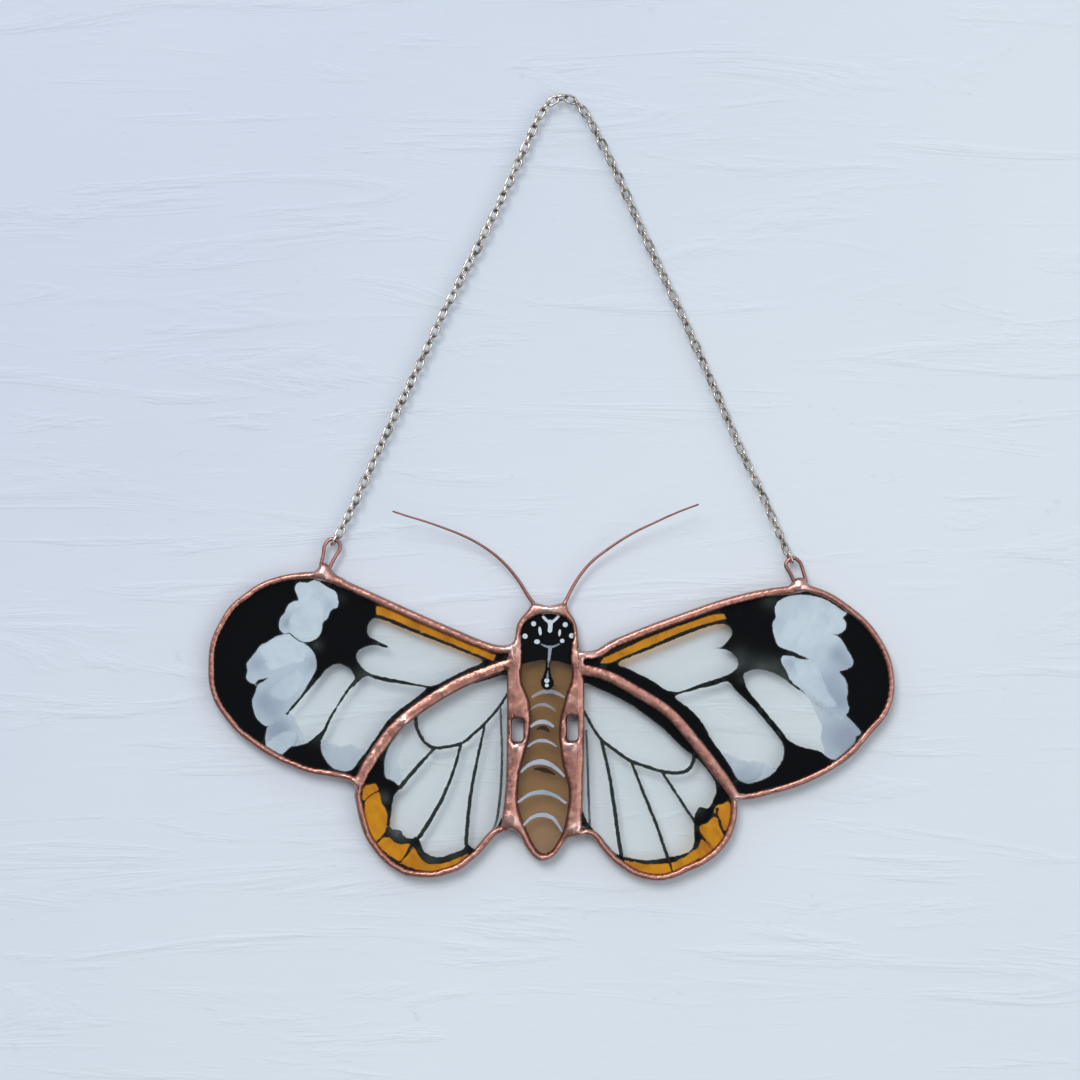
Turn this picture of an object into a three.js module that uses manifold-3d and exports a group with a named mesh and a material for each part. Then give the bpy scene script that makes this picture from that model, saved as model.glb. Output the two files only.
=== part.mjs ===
// A stained-glass butterfly that hangs from a chain: four wing panes and a body pane, edged in solder with a
// copper finish, with the markings of a clear-winged butterfly painted on the front of the glass.
// Millimetres. +X is to the right, +Z up and -Y towards the viewer. The origin is where the chain bends over its nail.
import * as THREE from "three";
import { mergeVertices } from "three/addons/utils/BufferGeometryUtils.js";
import Module from "manifold-3d";

const wasm = await Module();
wasm.setup();

// Driving dimensions. A height is measured from the middle of the glass towards the viewer.
const gap = 0.3; // between pieces that touch
const glassBack = -1.5;
const glassFront = 0.7;
const paintBack = glassFront + gap;
const paintFront = 1.5;
const beadHeight = 2.4; // the solder bead's crown, in front and behind
const beadRound = 1.1; // how deep the bead's rounding starts
const beadShoulder = 0.55; // how far the rounding narrows the bead
const grip = 0.4; // how far the bead overlaps the glass
const outerLip = 1.5; // width of the bead round the wings
const topLip = 2.0; // width of the bead along the top edges
const seamLip = 1.45; // half the bead between upper and lower wing
const sideLip = 1.5; // width of the bead beside the body
const wireRadius = 0.45; // of the two hanging loops
const antennaRoot = 0.5;
const antennaTip = 0.25;
const antennaReach = 6; // how far the tips stand forward
const chainRadius = 1.15;

// Outlines, [x, z] in millimetres, seen from the front.
const rimUpperLeft = [
  [-48.9, -161.5], [-50.1, -160.2], [-59.6, -158.2], [-69.1, -154.2], [-76.6, -148.8], [-82, -141.6],
  [-83.5, -132.2], [-80.9, -122.8], [-74.7, -115.9], [-65.8, -111.8], [-57.8, -111],
];
const topLeft = [
  [-57.8, -111], [-50.1, -113.7], [-37.7, -119.3], [-25.1, -124.8], [-16.4, -128.1], [-12.2, -127.8],
];
const seamLeft = [
  [-12.2, -132.1], [-22.5, -136], [-28.8, -139.3], [-35, -143.4], [-40, -147.7], [-44.7, -154],
  [-48.9, -161.5],
];
const rimLowerLeft = [
  [-13.9, -171.7], [-15.9, -172.5], [-19.9, -176.9], [-24.6, -180.7], [-30.9, -182.6], [-36.9, -182.2],
  [-42.5, -178.8], [-46.9, -172.8], [-48.8, -166.2], [-49.3, -162.9], [-48.9, -161.5],
];
const sideLeft = [[-12.2, -127.8], [-12.2, -150.9], [-12.5, -161.5], [-13.3, -168.7], [-13.9, -171.7]];
const tail = [
  [-13.9, -171.7], [-12.6, -171.3], [-10.7, -172.8], [-7.6, -177.6], [-5.9, -178.7], [-3.9, -178.3],
  [-0.7, -175.1], [0.7, -173.4], [2.6, -173],
];
const sideRight = [[2.6, -173], [2.5, -168.5], [2.7, -161.5], [3, -150.7], [3, -129.4]];
const head = [
  [3, -129.4], [3, -126], [2, -121.9], [0.1, -118.5], [-3.7, -119], [-7.5, -118.5], [-10.4, -121.9],
  [-11.7, -126], [-12.2, -127.8],
];
const seamRight = [
  [3, -133.8], [10, -135.4], [17.5, -139.5], [24.4, -144.1], [30.3, -150.7], [35, -156.8],
  [40.2, -164.3],
];
const topRight = [
  [3, -129.4], [7.3, -129.3], [10.4, -127.4], [22.4, -122.5], [34.9, -118.1], [47.5, -115],
  [56, -113.8],
];
const rimUpperRight = [
  [56, -113.8], [66.3, -118.8], [73.8, -126.6], [77, -135.9], [75.1, -144.8], [68.1, -153],
  [59.4, -159.1], [47.5, -163.3], [40.2, -164.3],
];
const rimLowerRight = [
  [40.2, -164.3], [39.7, -170.6], [35.6, -177.2], [29.4, -180.9], [22.5, -183.3], [16.2, -182.2],
  [11.2, -178.8], [6.8, -173.7], [5.2, -172.7], [2.6, -173],
];
const bodyGlass = [
  [-10.2, -125.5], [-8.2, -122.1], [-3.7, -121], [0.4, -122.2], [1.8, -125.9], [1.2, -131.7],
  [1.5, -136.7], [-0.2, -142.2], [-1.3, -148.7], [-0.5, -155.8], [1, -162.3], [0.4, -168.5],
  [-1.6, -174.2], [-5, -177.1], [-7.8, -174.5], [-10.5, -168.3], [-11.2, -161.5], [-10.1, -155.2],
  [-8.4, -148.7], [-8.4, -142.2], [-10.4, -135], [-10, -131.7],
];
// Bare openings in the solder beside the thorax: [left, top, right, bottom].
const slots = [[-12.5, -145.4, -9.8, -150.8], [0.4, -144.9, 3.3, -150.6]];

// Windows that the black paint leaves on the upper wings. The first ones are filled with white.
const whiteUpperLeft = [
  [
    [-63, -114.9], [-61.4, -113.7], [-57.9, -113.3], [-53.3, -116.8], [-54.8, -120.4], [-57.4, -125.7],
    [-61.4, -127], [-64.7, -125], [-66.7, -122.4], [-65.5, -119.8], [-62, -117.6],
  ],
  [
    [-64.7, -126], [-60.1, -128], [-58.4, -133], [-60.9, -139.6], [-66, -145.1], [-69.2, -146.6],
    [-71.1, -146.5], [-72.8, -142.2], [-72.1, -137.6], [-69.8, -136], [-74.1, -136.3], [-74.1, -132],
    [-70.3, -127.4],
  ],
];
const clearUpperLeft = [
  [
    [-53, -132.7], [-49.4, -135.6], [-51.5, -141.7], [-56.3, -147.3], [-60.1, -150.8], [-64.2, -152.1],
    [-66, -153.8], [-69.8, -151.3], [-69, -147.6], [-66, -146], [-60.9, -140.6], [-55.3, -133.6],
  ],
  [
    [-46.2, -135.6], [-32.7, -138.1], [-39.1, -143.4], [-44.1, -149.3], [-50, -157.2], [-54.8, -156.4],
    [-57.1, -151.3], [-52.8, -142.7], [-49.2, -137.6],
  ],
  [
    [-44.9, -122.1], [-39.1, -123.9], [-29.4, -127.7], [-19.5, -132], [-26.9, -135.6], [-32.2, -137.2],
    [-42.1, -135], [-48.2, -132], [-46.7, -128.7], [-40.5, -129.1], [-44.7, -126.7], [-46.2, -124.4],
  ],
];
const amberUpperLeft = [
  [-44, -119.5], [-41.1, -120], [-32, -123.9], [-21.8, -128], [-16.4, -130.9], [-18.6, -131.2],
  [-29.4, -126.6], [-37, -122.9], [-44.1, -121],
];
const whiteUpperRight = [
  [
    [51.9, -116.8], [48.5, -122], [50.4, -128.7], [57.3, -131.3], [50.9, -131], [53.4, -136.4],
    [60.7, -143.2], [64.6, -145], [66.3, -143.6], [65.4, -138], [63.7, -134.6], [67.4, -131.3],
    [65.8, -128.2], [62.5, -125.6], [65.6, -122], [62.2, -118.4], [55.5, -116.6],
  ],
];
const clearUpperRight = [
  [
    [12.5, -132.6], [24.6, -127.4], [37, -123.4], [38.9, -125.6], [34.5, -129], [40.3, -132.2],
    [37, -134.9], [26.1, -138.4], [17.9, -135.1],
  ],
  [
    [25.9, -140.3], [38, -136.9], [44.7, -143.6], [50.9, -152], [48.3, -158.3], [42.6, -160.2],
    [37, -153.9], [31.8, -145.7],
  ],
  [
    [43.7, -134.1], [42.1, -136.9], [45.2, -141.6], [52.4, -150.3], [59.6, -152.9], [65.3, -154.4],
    [67.9, -148.8], [65, -146.6], [59.6, -143.2], [53.4, -138.4], [49.8, -136.2],
  ],
];
const amberUpperRight = [
  [9.2, -131.8], [19.4, -126.8], [29.7, -123], [36.8, -120.9], [37.5, -122], [29.7, -124.4],
  [19.4, -128.4], [10.6, -132.2],
];

// On the lower wings one clear window takes most of the pane, crossed by thin veins: [route, width].
const clearLowerLeft = [
  [-10, -134.4], [-19.1, -136.7], [-29.5, -141.2], [-36.3, -146.1], [-41.1, -152], [-42.2, -157.4],
  [-38.5, -161.7], [-40.2, -164.9], [-40.5, -170.9], [-35.9, -173.3], [-34.2, -172.8], [-31.2, -177.4],
  [-26.6, -176.8], [-22.8, -174.8], [-19.1, -174.4], [-15.9, -170.8], [-10, -168],
];
const veinsLowerLeft = [
  [[[-12, -137.4], [-18.4, -146.1], [-24, -151], [-30.6, -152.2], [-34.1, -149], [-34.9, -143.5]], 0.6],
  [[[-30.7, -152.2], [-39, -162]], 0.6],
  [[[-24.2, -151.2], [-27.9, -162.2], [-34.4, -174]], 0.6],
  [[[-18.5, -146.2], [-22.1, -163.1], [-23.1, -176.4]], 0.6],
  [[[-15.2, -141.4], [-14.8, -154], [-15.3, -164], [-17.8, -175]], 0.5],
];
const amberLowerLeft = [
  [[-47.6, -160.4], [-44.3, -160.8], [-43.9, -162.3], [-45.6, -163], [-48.2, -164.4]],
  [
    [-47.9, -165], [-44.8, -163.3], [-43.5, -162.8], [-41.9, -166], [-41.9, -171.4], [-43.7, -173.5],
    [-46.2, -174], [-48, -169],
  ],
  [[-44.9, -174.7], [-41.5, -173.4], [-36.6, -175.1], [-37.8, -177.6], [-39.6, -180]],
  [
    [-39, -179.6], [-35.2, -176.2], [-30.3, -179.3], [-23.6, -177.8], [-22.4, -178.3], [-27, -181.6],
    [-34, -182],
  ],
];
const clearLowerRight = [
  [0, -134.8], [8.1, -138.7], [19.4, -145.2], [27.7, -152.6], [34.4, -159.3], [35.2, -162.6],
  [31.3, -166], [30, -170.4], [29.8, -174.8], [24.6, -177.4], [19.4, -178.2], [12.3, -176.9],
  [6.6, -171.2], [0, -168.4],
];
const veinsLowerRight = [
  [
    [[3.4, -141.4], [8.4, -150.2], [15, -155.1], [22.5, -157.7], [28.2, -157.6], [30.2, -155], [30, -152.6]],
    0.6,
  ],
  [[[8.5, -150.4], [11.5, -166.2], [13.2, -178.4]], 0.6],
  [[[15.3, -155.2], [21.2, -169.9], [24.1, -178.6]], 0.6],
  [[[22.7, -157.6], [31, -170.4]], 0.6],
];
const amberLowerRight = [
  [[35.2, -166.4], [39.6, -164.4], [39.4, -169.4], [38.2, -172.2], [36.9, -171.2], [36.9, -169.4]],
  [[32, -170.7], [34.7, -168.7], [37.6, -173.6], [34.8, -176.6], [32.5, -173.6]],
  [
    [13.4, -178.8], [19.4, -179.2], [25.6, -178.6], [30.3, -176.4], [32, -174.4], [34.2, -176.8],
    [28.2, -181], [22, -182.8], [15.4, -182],
  ],
];

// Paint on the body: the black cap of the head, the rod with a club below it, and pale bands.
const headCap = [
  [-14, -117], [6, -117], [6, -131], [1.6, -133], [-1.6, -132], [-5.4, -131.7], [-10.3, -132.8],
  [-14, -131],
];
const clubRod = [[-3.9, -130], [-4.2, -136]];
const clubRodWidth = 1.4;
const clubCentre = [-4.2, -137];
const clubRadius = 1.6;
const bands = [
  [[[-8.2, -140.4], [-4.7, -139.6], [-0.9, -140.4]], 0.6],
  [[[-8.2, -143], [-5, -142], [-2.1, -143.7]], 0.6],
  [[[-8, -147.1], [-5.3, -146.3], [-2.8, -147.3]], 0.9],
  [[[-8.7, -151.6], [-5.3, -150.5], [-1.9, -151.9]], 0.7],
  [[[-10.2, -157.6], [-8.2, -156.2], [-4.7, -155.6], [-2.5, -156.5], [-0.4, -159]], 1],
  [[[-11, -164.9], [-8.7, -163.3], [-4.7, -162.7], [-1.9, -163.6], [0.2, -165.2]], 0.9],
  [[[-9.6, -170.4], [-7.8, -168.5], [-5.3, -168], [-3, -168.5], [-0.8, -171.6]], 0.9],
];

// Wires: the two hanging loops, the antennae and the chain's route from one loop to the other.
const loopLeft = [
  [-57, -111.2], [-57.2, -109.6], [-56.3, -104.8], [-54.7, -103.3], [-52.7, -105.2], [-54, -107.8],
  [-55.1, -110], [-55.7, -111.2],
];
const loopRight = [
  [54, -114.8], [52.7, -111.4], [51.6, -109.3], [53.2, -107.7], [55.2, -109.4], [56.2, -112.5],
  [56.2, -114.8],
];
const solderMounds = { left: [-56.5, -111.8], right: [55.2, -114.8] };
const moundSize = [3.1, 2.2, 1.9]; // half its length, depth and height
const antennaLeft = [
  [-7, -119.6], [-8.7, -116.7], [-13.2, -110.2], [-20.5, -104.3], [-28.6, -100.7], [-40.2, -96.9],
];
const antennaRight = [
  [-0.4, -119.6], [1.4, -115.3], [4.6, -110.4], [9.6, -106], [16.7, -101.5], [23.9, -98.1],
  [31, -95.3],
];
const chainRoute = [
  [-54.27, -102.63], [-49.5, -95.2], [-42.6, -80.2], [-35.4, -65.2], [-28.4, -50.2], [-20.6, -35.2],
  [-13.3, -20.3], [-9.9, -12.8], [-7.3, -7], [-5.6, -3.6], [-3.4, -1.1], [-0.2, 0], [2.8, -1.5],
  [5.4, -4.6], [7.7, -9], [14.9, -24], [21.7, -39], [28.8, -54], [35.4, -69], [41.9, -84],
  [48.8, -98.9], [52.88, -106.96],
];

// Materials.
const paint = (color, roughness, metalness, opacity = 1) =>
  new THREE.MeshStandardMaterial({ color, roughness, metalness, opacity, transparent: opacity < 1 });
const copper = paint(0xb97a68, 0.38, 1);
const chainMetal = paint(0xcbbfae, 0.3, 1);
const clearGlass = paint(0xe4ecef, 0.05, 0, 0.35);
const brownGlass = paint(0x86704a, 0.15, 0, 0.9);
const blackPaint = paint(0x0b0d0e, 0.25, 0);
const whitePaint = paint(0xc4d0da, 0.4, 0);
const amberPaint = paint(0xcf8c16, 0.2, 0, 0.85);
const greyPaint = paint(0xb0b2c2, 0.4, 0);

// Curves.
const flat = ([x, z]) => new THREE.Vector3(x, z, 0);
const curve = (points, closed) =>
  new THREE.CatmullRomCurve3(points.map(flat), closed, "centripetal");
const plane = (p) => new THREE.Vector2(p.x, p.y);
const stroke = (points, count) => curve(points, false).getSpacedPoints(count).map(plane);
const blob = (points) => curve(points, true).getPoints(2 * points.length).slice(1).map(plane);

// An outline from edges [points, lip, shared, count], with the width of the bead along each of its sides and
// whether that side is shared with the next pane. It runs counter-clockwise.
function outline(edges) {
  let points = [];
  let sides = [];
  let end = null;
  for (const [route, lip, shared, count] of edges) {
    const run = stroke(route, count);
    if (end && run[0].distanceTo(end) > run[count].distanceTo(end)) run.reverse();
    end = run[count];
    points.push(...run.slice(0, count));
    sides.push(...run.slice(0, count).map(() => ({ lip, shared })));
  }
  if (THREE.ShapeUtils.isClockWise(points)) {
    points.reverse();
    sides.reverse();
    sides.push(sides.shift());
  }
  return { points, sides };
}

// The outline moved inwards by a width for each side, or outwards where that is negative.
function inset({ points, sides }, widthOf) {
  const count = points.length;
  const widths = sides.map(widthOf);
  const normals = points.map((p, i) => {
    const along = points[(i + 1) % count].clone().sub(p).normalize();
    return new THREE.Vector2(-along.y, along.x);
  });
  const moved = points.map((p, i) => {
    const j = (i + count - 1) % count;
    const [a, b, wa, wb] = [normals[j], normals[i], widths[j], widths[i]];
    const turn = a.x * b.y - a.y * b.x;
    if (Math.abs(turn) < 0.15) {
      const between = a.clone().add(b).normalize();
      return p.clone().addScaledVector(between, (wa + wb) / 2);
    }
    return new THREE.Vector2(p.x + (wa * b.y - wb * a.y) / turn, p.y + (a.x * wb - b.x * wa) / turn);
  });
  const clearOf = (q) =>
    points.every((p, i) => {
      const side = points[(i + 1) % count].clone().sub(p);
      const t = THREE.MathUtils.clamp(q.clone().sub(p).dot(side) / side.lengthSq(), 0, 1);
      const near = p.clone().addScaledVector(side, t);
      return near.distanceTo(q) >= 0.9 * widths[i] - 1e-6;
    });
  return moved.filter(clearOf);
}
const shrink = (points, width) => {
  const loop = THREE.ShapeUtils.isClockWise(points) ? [...points].reverse() : points;
  return inset({ points: loop, sides: loop }, () => width);
};

// The outline of a line of even width.
function ribbon(route, width) {
  const run = stroke(route, 4 * (route.length - 1));
  const across = run.map((p, i) => {
    const along = run[Math.min(i + 1, run.length - 1)].clone().sub(run[Math.max(i - 1, 0)]).normalize();
    return new THREE.Vector2(-along.y, along.x).multiplyScalar(width / 2);
  });
  const left = run.map((p, i) => p.clone().add(across[i]));
  const right = run.map((p, i) => p.clone().sub(across[i])).reverse();
  return [...left, ...right];
}

// Solids.
function solid(geometry) {
  geometry.deleteAttribute("normal");
  geometry.deleteAttribute("uv");
  const merged = mergeVertices(geometry, 1e-4);
  return new wasm.Manifold(
    new wasm.Mesh({
      numProp: 3,
      vertProperties: merged.attributes.position.array,
      triVerts: new Uint32Array(merged.index.array),
    }),
  );
}

// A plate with this outline, between two heights, standing in the plane of the glass.
function plate(points, low, high) {
  const geometry = new THREE.ExtrudeGeometry(new THREE.Shape(points), {
    depth: high - low,
    bevelEnabled: false,
  });
  return solid(geometry.translate(0, 0, low).rotateX(Math.PI / 2));
}

// A ring of bead between an outer and an inner outline, rounded in front and behind.
function bead(outer, inner, height) {
  const shape = new THREE.Shape(outer);
  shape.holes.push(new THREE.Path(inner));
  const geometry = new THREE.ExtrudeGeometry(shape, {
    depth: 2 * (height - beadRound),
    bevelThickness: beadRound,
    bevelSize: beadShoulder,
    bevelOffset: -beadShoulder,
    bevelSegments: 2,
  });
  return solid(geometry.translate(0, 0, beadRound - height).rotateX(Math.PI / 2));
}

function sweep(route, radius, sides, steps) {
  const circle = new THREE.Shape();
  circle.absarc(0, 0, radius, 0, 2 * Math.PI);
  return new THREE.ExtrudeGeometry(new THREE.Shape(circle.getSpacedPoints(sides).slice(1)), {
    steps,
    extrudePath: route,
  });
}

function largest(made) {
  return made.decompose().sort((a, b) => b.volume() - a.volume())[0];
}

const butterfly = new THREE.Group();

function add(name, made, material) {
  const { vertProperties, triVerts } = largest(made).getMesh();
  const geometry = new THREE.BufferGeometry();
  geometry.setAttribute("position", new THREE.BufferAttribute(vertProperties, 3));
  geometry.setIndex(new THREE.BufferAttribute(triVerts, 1));
  geometry.computeVertexNormals();
  const mesh = new THREE.Mesh(geometry, material);
  mesh.name = name;
  butterfly.add(mesh);
}

// The bead of one pane: rounded at its free edges, cut square where it meets the next one, and grooved for the glass.
function frame(edge, glass) {
  const ring = bead(inset(edge, (side) => (side.shared ? -beadShoulder : 0)), glass, beadHeight);
  const cut = plate(inset(edge, (side) => (side.shared ? gap / 2 : 0)), -3, 3);
  const groove = plate(shrink(glass, -grip - gap), glassBack - gap, paintFront + gap);
  return ring.intersect(cut).subtract(groove);
}
const pane = (glass) => shrink(glass, -grip);

// A hanging loop of wire, with its two legs sunk in a mound of solder.
function wireLoop(route, radius) {
  const path = new THREE.CatmullRomCurve3(route.map(([x, z]) => new THREE.Vector3(x, 0, z)), false, "centripetal");
  return solid(sweep(path, radius, 8, 18));
}
function mound([x, z]) {
  return solid(new THREE.SphereGeometry(1, 12, 8).scale(...moundSize).translate(x, 0, z));
}

// An antenna: a wire that thins and leans forward towards its tip.
function antenna(route, extra = 0) {
  const steps = 14;
  const last = route.length - 1;
  const path = new THREE.CatmullRomCurve3(
    route.map(([x, z], i) => new THREE.Vector3(x, -antennaReach * (i / last) ** 2, z)),
    false,
    "centripetal",
  );
  const geometry = sweep(path, 1, 8, steps);
  const centres = path.getSpacedPoints(steps);
  const place = geometry.getAttribute("position");
  const vertex = new THREE.Vector3();
  for (let i = 0; i < place.count; i += 1) {
    vertex.fromBufferAttribute(place, i);
    const distances = centres.map((c) => c.distanceTo(vertex));
    const step = distances.indexOf(Math.min(...distances));
    const radius = THREE.MathUtils.lerp(antennaRoot, antennaTip, step / steps) + extra;
    vertex.sub(centres[step]).multiplyScalar(radius).add(centres[step]);
    place.setXYZ(i, vertex.x, vertex.y, vertex.z);
  }
  return solid(geometry);
}

// One wing: its glass, its bead and its paint.
function wing(name, edges, { white = [], clear, amber, veins = [], wire = null }) {
  const edge = outline(edges);
  const glass = inset(edge, (side) => side.lip);
  const reach = plate(pane(glass), -3, 3);
  add(`${name}_glass`, plate(pane(glass), glassBack, glassFront), clearGlass);
  let ring = frame(edge, glass);
  if (wire) {
    const [loop, centre] = wire;
    const socket = plate(shrink(glass, -grip - gap), glassBack - gap, paintFront + gap);
    ring = ring.add(mound(centre)).subtract(socket).subtract(wireLoop(loop, wireRadius + gap));
  }
  add(`${name}_frame`, ring, copper);
  let black = plate(pane(glass), paintBack, paintFront);
  for (const window of [...white, ...clear].map(blob)) black = black.subtract(plate(window, -3, 3));
  for (const [route, width] of veins)
    black = black.add(plate(ribbon(route, width), paintBack, paintFront).intersect(reach));
  for (const patch of amber.map(blob)) black = black.subtract(plate(patch, -3, 3));
  add(`${name}_black_paint`, black, blackPaint);
  const fill = (patches, kind, material) =>
    patches.map(blob).forEach((patch, i) => {
      const piece = plate(shrink(patch, gap), paintBack, paintFront).intersect(reach);
      add(`${name}_${kind}_paint_${i + 1}`, piece, material);
    });
  fill(white, "white", whitePaint);
  fill(amber, "amber", amberPaint);
}

wing(
  "upper_left_wing",
  [
    [rimUpperLeft, outerLip, false, 24],
    [topLeft, topLip, false, 8],
    [[sideLeft[0], seamLeft[0]], sideLip, true, 1],
    [seamLeft, seamLip, true, 14],
  ],
  {
    white: whiteUpperLeft,
    clear: clearUpperLeft,
    amber: [amberUpperLeft],
    wire: [loopLeft, solderMounds.left],
  },
);
wing(
  "lower_left_wing",
  [
    [rimLowerLeft, outerLip, false, 24],
    [seamLeft, seamLip, true, 14],
    [[seamLeft[0], ...sideLeft.slice(1)], sideLip, true, 6],
  ],
  { clear: [clearLowerLeft], amber: amberLowerLeft, veins: veinsLowerLeft },
);
wing(
  "upper_right_wing",
  [
    [rimUpperRight, outerLip, false, 24],
    [seamRight, seamLip, true, 14],
    [[seamRight[0], sideRight[4]], sideLip, true, 1],
    [topRight, topLip, false, 10],
  ],
  {
    white: whiteUpperRight,
    clear: clearUpperRight,
    amber: [amberUpperRight],
    wire: [loopRight, solderMounds.right],
  },
);
wing(
  "lower_right_wing",
  [
    [rimLowerRight, outerLip, false, 24],
    [[...sideRight.slice(0, 4), seamRight[0]], sideLip, true, 6],
    [seamRight, seamLip, true, 14],
  ],
  { clear: [clearLowerRight], amber: amberLowerRight, veins: veinsLowerRight },
);

// The body: one long pane, with the head's black cap and the pale bands painted on it.
const bodyEdge = outline([
  [head, 0, false, 20],
  [sideLeft, 0, true, 6],
  [tail, 0, false, 16],
  [sideRight, 0, true, 6],
]);
const bodyOpening = blob(bodyGlass);
const bodyReach = plate(pane(bodyOpening), -3, 3);
let bodyFrame = frame(bodyEdge, bodyOpening);
for (const [left, top, right, bottom] of slots) {
  const round = 0.7;
  const slot = new THREE.Shape();
  slot.absarc(right - round, top - round, round, 0, Math.PI / 2);
  slot.absarc(left + round, top - round, round, Math.PI / 2, Math.PI);
  slot.absarc(left + round, bottom + round, round, Math.PI, 1.5 * Math.PI);
  slot.absarc(right - round, bottom + round, round, 1.5 * Math.PI, 2 * Math.PI);
  bodyFrame = bodyFrame.subtract(plate(slot.getPoints(3), -3, 3));
}
for (const route of [antennaLeft, antennaRight]) bodyFrame = bodyFrame.subtract(antenna(route, gap));
add("body_glass", plate(pane(bodyOpening), glassBack, glassFront), brownGlass);
add("body_frame", bodyFrame, copper);

const club = new THREE.Shape();
club.absarc(...clubCentre, clubRadius, 0, 2 * Math.PI);
const headBlack = plate(blob(headCap), paintBack, paintFront)
  .intersect(bodyReach)
  .add(plate(ribbon(clubRod, clubRodWidth), paintBack, paintFront))
  .add(plate(club.getSpacedPoints(16).slice(1), paintBack, paintFront));
add("head_black_paint", headBlack, blackPaint);
bands.forEach(([route, width], i) => {
  const band = plate(ribbon(route, width), paintBack, paintFront).intersect(bodyReach);
  add(`abdomen_band_${i + 1}`, band, greyPaint);
});

add("hanging_loop_left", wireLoop(loopLeft, wireRadius), copper);
add("hanging_loop_right", wireLoop(loopRight, wireRadius), copper);
add("antenna_left", antenna(antennaLeft), copper);
add("antenna_right", antenna(antennaRight), copper);

const chainPath = new THREE.CatmullRomCurve3(
  chainRoute.map(([x, z]) => new THREE.Vector3(x, 0, z)),
  false,
  "centripetal",
);
add("chain", solid(sweep(chainPath, chainRadius, 8, 72)), chainMetal);

export default butterfly;
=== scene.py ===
"""A stained-glass butterfly on a link chain, dressed round its CAD frame.

Lengths in the lists below are millimetres, (x, z) as seen from the front, with the origin at the
bend of the chain. Heights are towards the viewer, from the middle of the soldered bead. Everything
is turned into metres when a mesh is made.
"""

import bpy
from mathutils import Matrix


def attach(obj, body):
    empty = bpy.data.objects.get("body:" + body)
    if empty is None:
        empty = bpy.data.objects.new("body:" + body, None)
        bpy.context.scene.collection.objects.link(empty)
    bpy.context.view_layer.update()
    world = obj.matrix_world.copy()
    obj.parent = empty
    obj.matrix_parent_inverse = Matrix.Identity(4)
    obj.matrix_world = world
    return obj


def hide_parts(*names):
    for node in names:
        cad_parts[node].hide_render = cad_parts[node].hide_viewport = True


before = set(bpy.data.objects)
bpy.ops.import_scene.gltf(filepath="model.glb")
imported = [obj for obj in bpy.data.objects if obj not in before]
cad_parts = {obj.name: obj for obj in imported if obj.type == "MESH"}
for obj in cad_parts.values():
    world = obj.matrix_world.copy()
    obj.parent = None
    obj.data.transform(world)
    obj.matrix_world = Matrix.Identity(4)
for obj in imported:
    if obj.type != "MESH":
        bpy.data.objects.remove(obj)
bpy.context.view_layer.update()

import math
import random
from types import SimpleNamespace

import bpy
import numpy as np
from mathutils import Vector, geometry, kdtree, noise

bl_info = {
    "name": "Glass butterfly",
    "version": (1, 0, 0),
    "blender": (4, 5, 0),
    "location": "View3D > Sidebar > Butterfly",
    "description": "Builds a stained-glass butterfly with painted wings, solder and a chain",
    "category": "Object",
}

MM = 0.001

# The silhouettes of the panes, bead included, and the lines that two of them share.
RIM_UPPER_LEFT = [
    (-48.9, -161.5), (-50.1, -160.2), (-54.6, -159.1), (-59.6, -158.2), (-63.9, -156.7),
    (-69.1, -154.2), (-73.3, -151.4), (-76.6, -148.8), (-79.6, -145.3), (-82, -141.6),
    (-83.3, -137.4), (-83.5, -132.2), (-82.9, -127.3), (-80.9, -122.8), (-78.5, -119.1),
    (-74.7, -115.9), (-71, -113.5), (-65.8, -111.8), (-60.9, -111.1), (-57.8, -111),
]
TOP_LEFT = [
    (-57.8, -111), (-54.6, -111.8), (-50.1, -113.7), (-43.9, -116.5), (-37.7, -119.3),
    (-31.4, -122.1), (-25.1, -124.8), (-20.1, -126.9), (-16.4, -128.1), (-14.3, -128.3),
    (-12.2, -127.8),
]
SEAM_LEFT = [
    (-12.2, -132.1), (-16.2, -133.6), (-22.5, -136), (-28.8, -139.3), (-35, -143.4),
    (-40, -147.7), (-44.7, -154), (-47.5, -158.7), (-48.9, -161.5),
]
RIM_LOWER_LEFT = [
    (-13.9, -171.7), (-15.9, -172.5), (-17.8, -174.4), (-19.9, -176.9), (-22.1, -178.8),
    (-24.6, -180.7), (-27.9, -181.9), (-30.9, -182.6), (-34.1, -182.6), (-36.9, -182.2),
    (-39.7, -180.9), (-42.5, -178.8), (-45, -175.9), (-46.9, -172.8), (-48.1, -169.3),
    (-48.8, -166.2), (-49.3, -162.9), (-48.9, -161.5),
]
SIDE_LEFT = [(-12.2, -127.8), (-12.2, -150.9), (-12.5, -161.5), (-13.3, -168.7), (-13.9, -171.7)]
TAIL = [
    (-13.9, -171.7), (-12.6, -171.3), (-10.7, -172.8), (-9.3, -175.3), (-7.6, -177.6),
    (-5.9, -178.7), (-3.9, -178.3), (-2.2, -177.1), (-0.7, -175.1), (0.7, -173.4), (2.6, -173),
]
SIDE_RIGHT = [(2.6, -173), (2.5, -168.5), (2.7, -161.5), (3, -150.7), (3, -129.4)]
HEAD = [
    (3, -129.4), (3.2, -127.8), (3, -126), (2.7, -123.7), (2, -121.9), (0.9, -120.3),
    (0.1, -118.5), (-3.7, -119), (-7.5, -118.5), (-9, -120.3), (-10.4, -121.9), (-11.3, -123.5),
    (-11.7, -126), (-12.2, -127.8),
]
SEAM_RIGHT = [
    (3, -133.8), (6.1, -134.3), (10, -135.4), (17.5, -139.5), (24.4, -144.1), (30.3, -150.7),
    (35, -156.8), (38.2, -161.2), (40.2, -164.3),
]
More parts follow.
